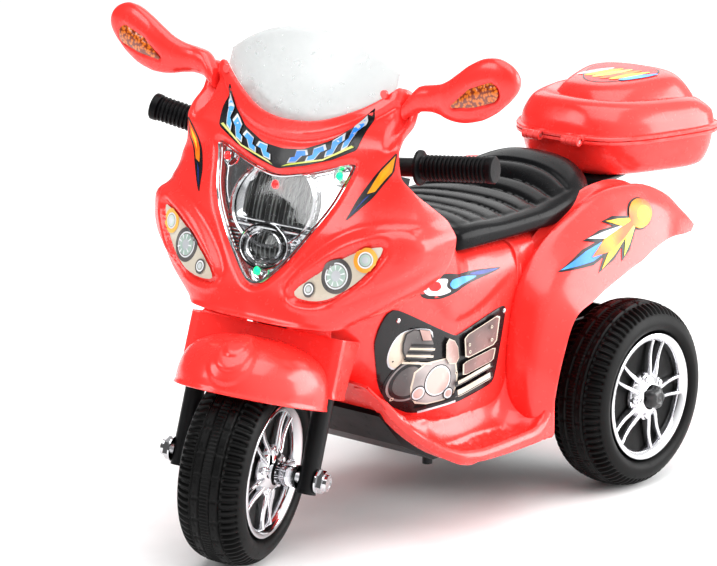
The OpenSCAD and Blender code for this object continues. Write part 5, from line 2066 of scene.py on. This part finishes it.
# ---- what each point shows ----
def note_points():
    """The middle of each pointed-at thing, in metres."""
    cowl, body = skin_of("front_cowl_shell"), skin_of("body_shell_skin")
    SHOWN["round_lamp"] = place(0, cowl_front(0, BOWL[0]) + 9, BOWL[0])
    SHOWN["projector_lamp"] = place(0, cowl_front(0, PROJECTOR[0]) + 4, PROJECTOR[0])
    x, z, _ = LAMP_RINGS[0]
    low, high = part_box("windshield_screws")
    for side, label in SIDES:
        SHOWN[label + "_lamp_ring"] = place(side * x, cowl_front(x, z) + 3, z)
        SHOWN[label + "_shield_screw"] = Vector((side * 98 * MM, low.y, (low.z + high.z) / 2))
    SHOWN["band_left_tip"] = from_front(cowl, 0)(*max(BAND))
    SHOWN["cowl_stripe_top"] = from_corner(1, cowl, 0)(*DART[0])
    SHOWN["swoosh_tip"] = from_side(1, body, 0)(SWOOSH[0] + 140, SWOOSH[1])
    SHOWN["flash_head"] = from_side(1, body, 0)(*COMET)
    low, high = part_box("seat_screw")
    SHOWN["seat_screw"] = Vector((0, (low.y + high.y) / 2, high.z))
    SHOWN["left_fork_nut"] = STEERED @ Vector((84, 0, 0))
    SHOWN["front_hub"] = STEERED @ Vector((32, 0, 0))
    SHOWN["rear_hub"] = Vector((0.160, REAR.y, REAR.z))


def write_points():
    for name, spot in SHOWN.items():
        x, y = shown_at(spot)
    view = bpy.context.evaluated_depsgraph_get()
    xs, ys = [], []
    for obj in bpy.context.scene.objects:
        if obj.type != "MESH" or obj.hide_render or obj.name == "studio_floor":
            continue
        for vertex in obj.evaluated_get(view).data.vertices:
            x, y = shown_at(obj.matrix_world @ vertex.co)
            xs.append(x)
            ys.append(y)


# ---- operators ----
class RIDE_ON_OT_front_cowl(bpy.types.Operator):
    """Front cowl with its lamp pods, rim and lips"""

    bl_idname = "ride_on.front_cowl"
    bl_label = "Front cowl"

    def execute(self, context):
        make_cowl()
        return {"FINISHED"}


class RIDE_ON_OT_windshield(bpy.types.Operator):
    """Clear screen on the cowl's rim"""

    bl_idname = "ride_on.windshield"
    bl_label = "Windshield"

    def execute(self, context):
        make_windshield()
        return {"FINISHED"}


class RIDE_ON_OT_lamps(bpy.types.Operator):
    """Headlight unit and the printed lamps beside it"""

    bl_idname = "ride_on.lamps"
    bl_label = "Lamps"

    def execute(self, context):
        make_headlight()
        make_side_lamps(skin_of("front_cowl_shell"))
        return {"FINISHED"}


class RIDE_ON_OT_mirrors(bpy.types.Operator):
    """Both mirrors with their glass and amber reflectors"""

    bl_idname = "ride_on.mirrors"
    bl_label = "Mirrors"

    def execute(self, context):
        make_mirrors()
        return {"FINISHED"}


class RIDE_ON_OT_front_fender(bpy.types.Operator):
    """Domed fender that turns with the fork"""

    bl_idname = "ride_on.front_fender"
    bl_label = "Front fender"

    def execute(self, context):
        make_front_fender()
        return {"FINISHED"}


class RIDE_ON_OT_body(bpy.types.Operator):
    """Body shell with tank, footboards and rear fenders"""

    bl_idname = "ride_on.body"
    bl_label = "Body shell"

    def execute(self, context):
        make_body()
        return {"FINISHED"}


class RIDE_ON_OT_engine_panels(bpy.types.Operator):
    """Printed engine panel on each side of the body"""

    bl_idname = "ride_on.engine_panels"
    bl_label = "Engine panels"

    def execute(self, context):
        make_engine_panels(skin_of("body_shell_skin"))
        return {"FINISHED"}


class RIDE_ON_OT_seat(bpy.types.Operator):
    """Pleated seat pad"""

    bl_idname = "ride_on.seat"
    bl_label = "Seat"

    def execute(self, context):
        make_seat()
        return {"FINISHED"}


class RIDE_ON_OT_trunk(bpy.types.Operator):
    """Trunk tub and its hinged lid"""

    bl_idname = "ride_on.trunk"
    bl_label = "Trunk"

    def execute(self, context):
        make_trunk()
        return {"FINISHED"}


class RIDE_ON_OT_wheels(bpy.types.Operator):
    """Three moulded tyres and their bright covers"""

    bl_idname = "ride_on.wheels"
    bl_label = "Wheels"

    def execute(self, context):
        make_wheels()
        make_axle_caps()
        return {"FINISHED"}


class RIDE_ON_OT_pedal_spring(bpy.types.Operator):
    """Coil spring under the pedal"""

    bl_idname = "ride_on.pedal_spring"
    bl_label = "Pedal spring"

    def execute(self, context):
        make_pedal_spring()
        return {"FINISHED"}


class RIDE_ON_OT_grips(bpy.types.Operator):
    """Ribbed rubber grips"""

    bl_idname = "ride_on.grips"
    bl_label = "Grips"

    def execute(self, context):
        make_grips()
        return {"FINISHED"}


class RIDE_ON_OT_stickers(bpy.types.Operator):
    """Generic stickers on cowl, tank, fenders and lid"""

    bl_idname = "ride_on.stickers"
    bl_label = "Stickers"

    def execute(self, context):
        cowl = skin_of("front_cowl_shell")
        body = skin_of("body_shell_skin")
        make_band(cowl)
        make_cowl_stripes(cowl)
        make_swooshes(body)
        make_flashes(body)
        make_lid_print(skin_of("trunk_lid_shell"))
        return {"FINISHED"}


class RIDE_ON_OT_finishes(bpy.types.Operator):
    """Finishes of the CAD parts that show as they are"""

    bl_idname = "ride_on.finishes"
    bl_label = "Other finishes"

    def execute(self, context):
        make_finishes()
        return {"FINISHED"}


class RIDE_ON_OT_studio(bpy.types.Operator):
    """Camera, soft lights and pale floor"""

    bl_idname = "ride_on.studio"
    bl_label = "Studio"

    def execute(self, context):
        make_studio()
        return {"FINISHED"}


MAKERS = (
    RIDE_ON_OT_front_cowl,
    RIDE_ON_OT_windshield,
    RIDE_ON_OT_lamps,
    RIDE_ON_OT_mirrors,
    RIDE_ON_OT_front_fender,
    RIDE_ON_OT_body,
    RIDE_ON_OT_engine_panels,
    RIDE_ON_OT_seat,
    RIDE_ON_OT_trunk,
    RIDE_ON_OT_wheels,
    RIDE_ON_OT_pedal_spring,
    RIDE_ON_OT_grips,
    RIDE_ON_OT_stickers,
    RIDE_ON_OT_finishes,
    RIDE_ON_OT_studio,
)


class RIDE_ON_PT_panel(bpy.types.Panel):
    """Lists the pieces and what can be changed about them"""

    bl_idname = "RIDE_ON_PT_panel"
    bl_label = "Ride-on motorcycle"
    bl_space_type = "VIEW_3D"
    bl_region_type = "UI"
    bl_category = "Ride-on"

    def draw(self, context):
        for settings in (context.scene.ride_on_sizes, context.scene.ride_on_colours):
            box = self.layout.box()
            for name in settings.__annotations__:
                box.prop(settings, name)
        for maker in MAKERS:
            self.layout.operator(maker.bl_idname)


def register():
    for cls in (RideOnSizes, RideOnColours, *MAKERS, RIDE_ON_PT_panel):
        bpy.utils.register_class(cls)
    bpy.types.Scene.ride_on_sizes = PointerProperty(type=RideOnSizes)
    bpy.types.Scene.ride_on_colours = PointerProperty(type=RideOnColours)


def unregister():
    del bpy.types.Scene.ride_on_colours
    del bpy.types.Scene.ride_on_sizes
    for cls in (RIDE_ON_PT_panel, *MAKERS[::-1], RideOnColours, RideOnSizes):
        bpy.utils.unregister_class(cls)


def main():
    register()
    for maker in MAKERS:
        name = maker.bl_idname.split(".")[1]
        if getattr(bpy.ops.ride_on, name)() != {"FINISHED"}:
            raise RuntimeError("the operator " + name + " didn't finish")
    note_points()
    write_points()


if __name__ == "__main__":
    main()
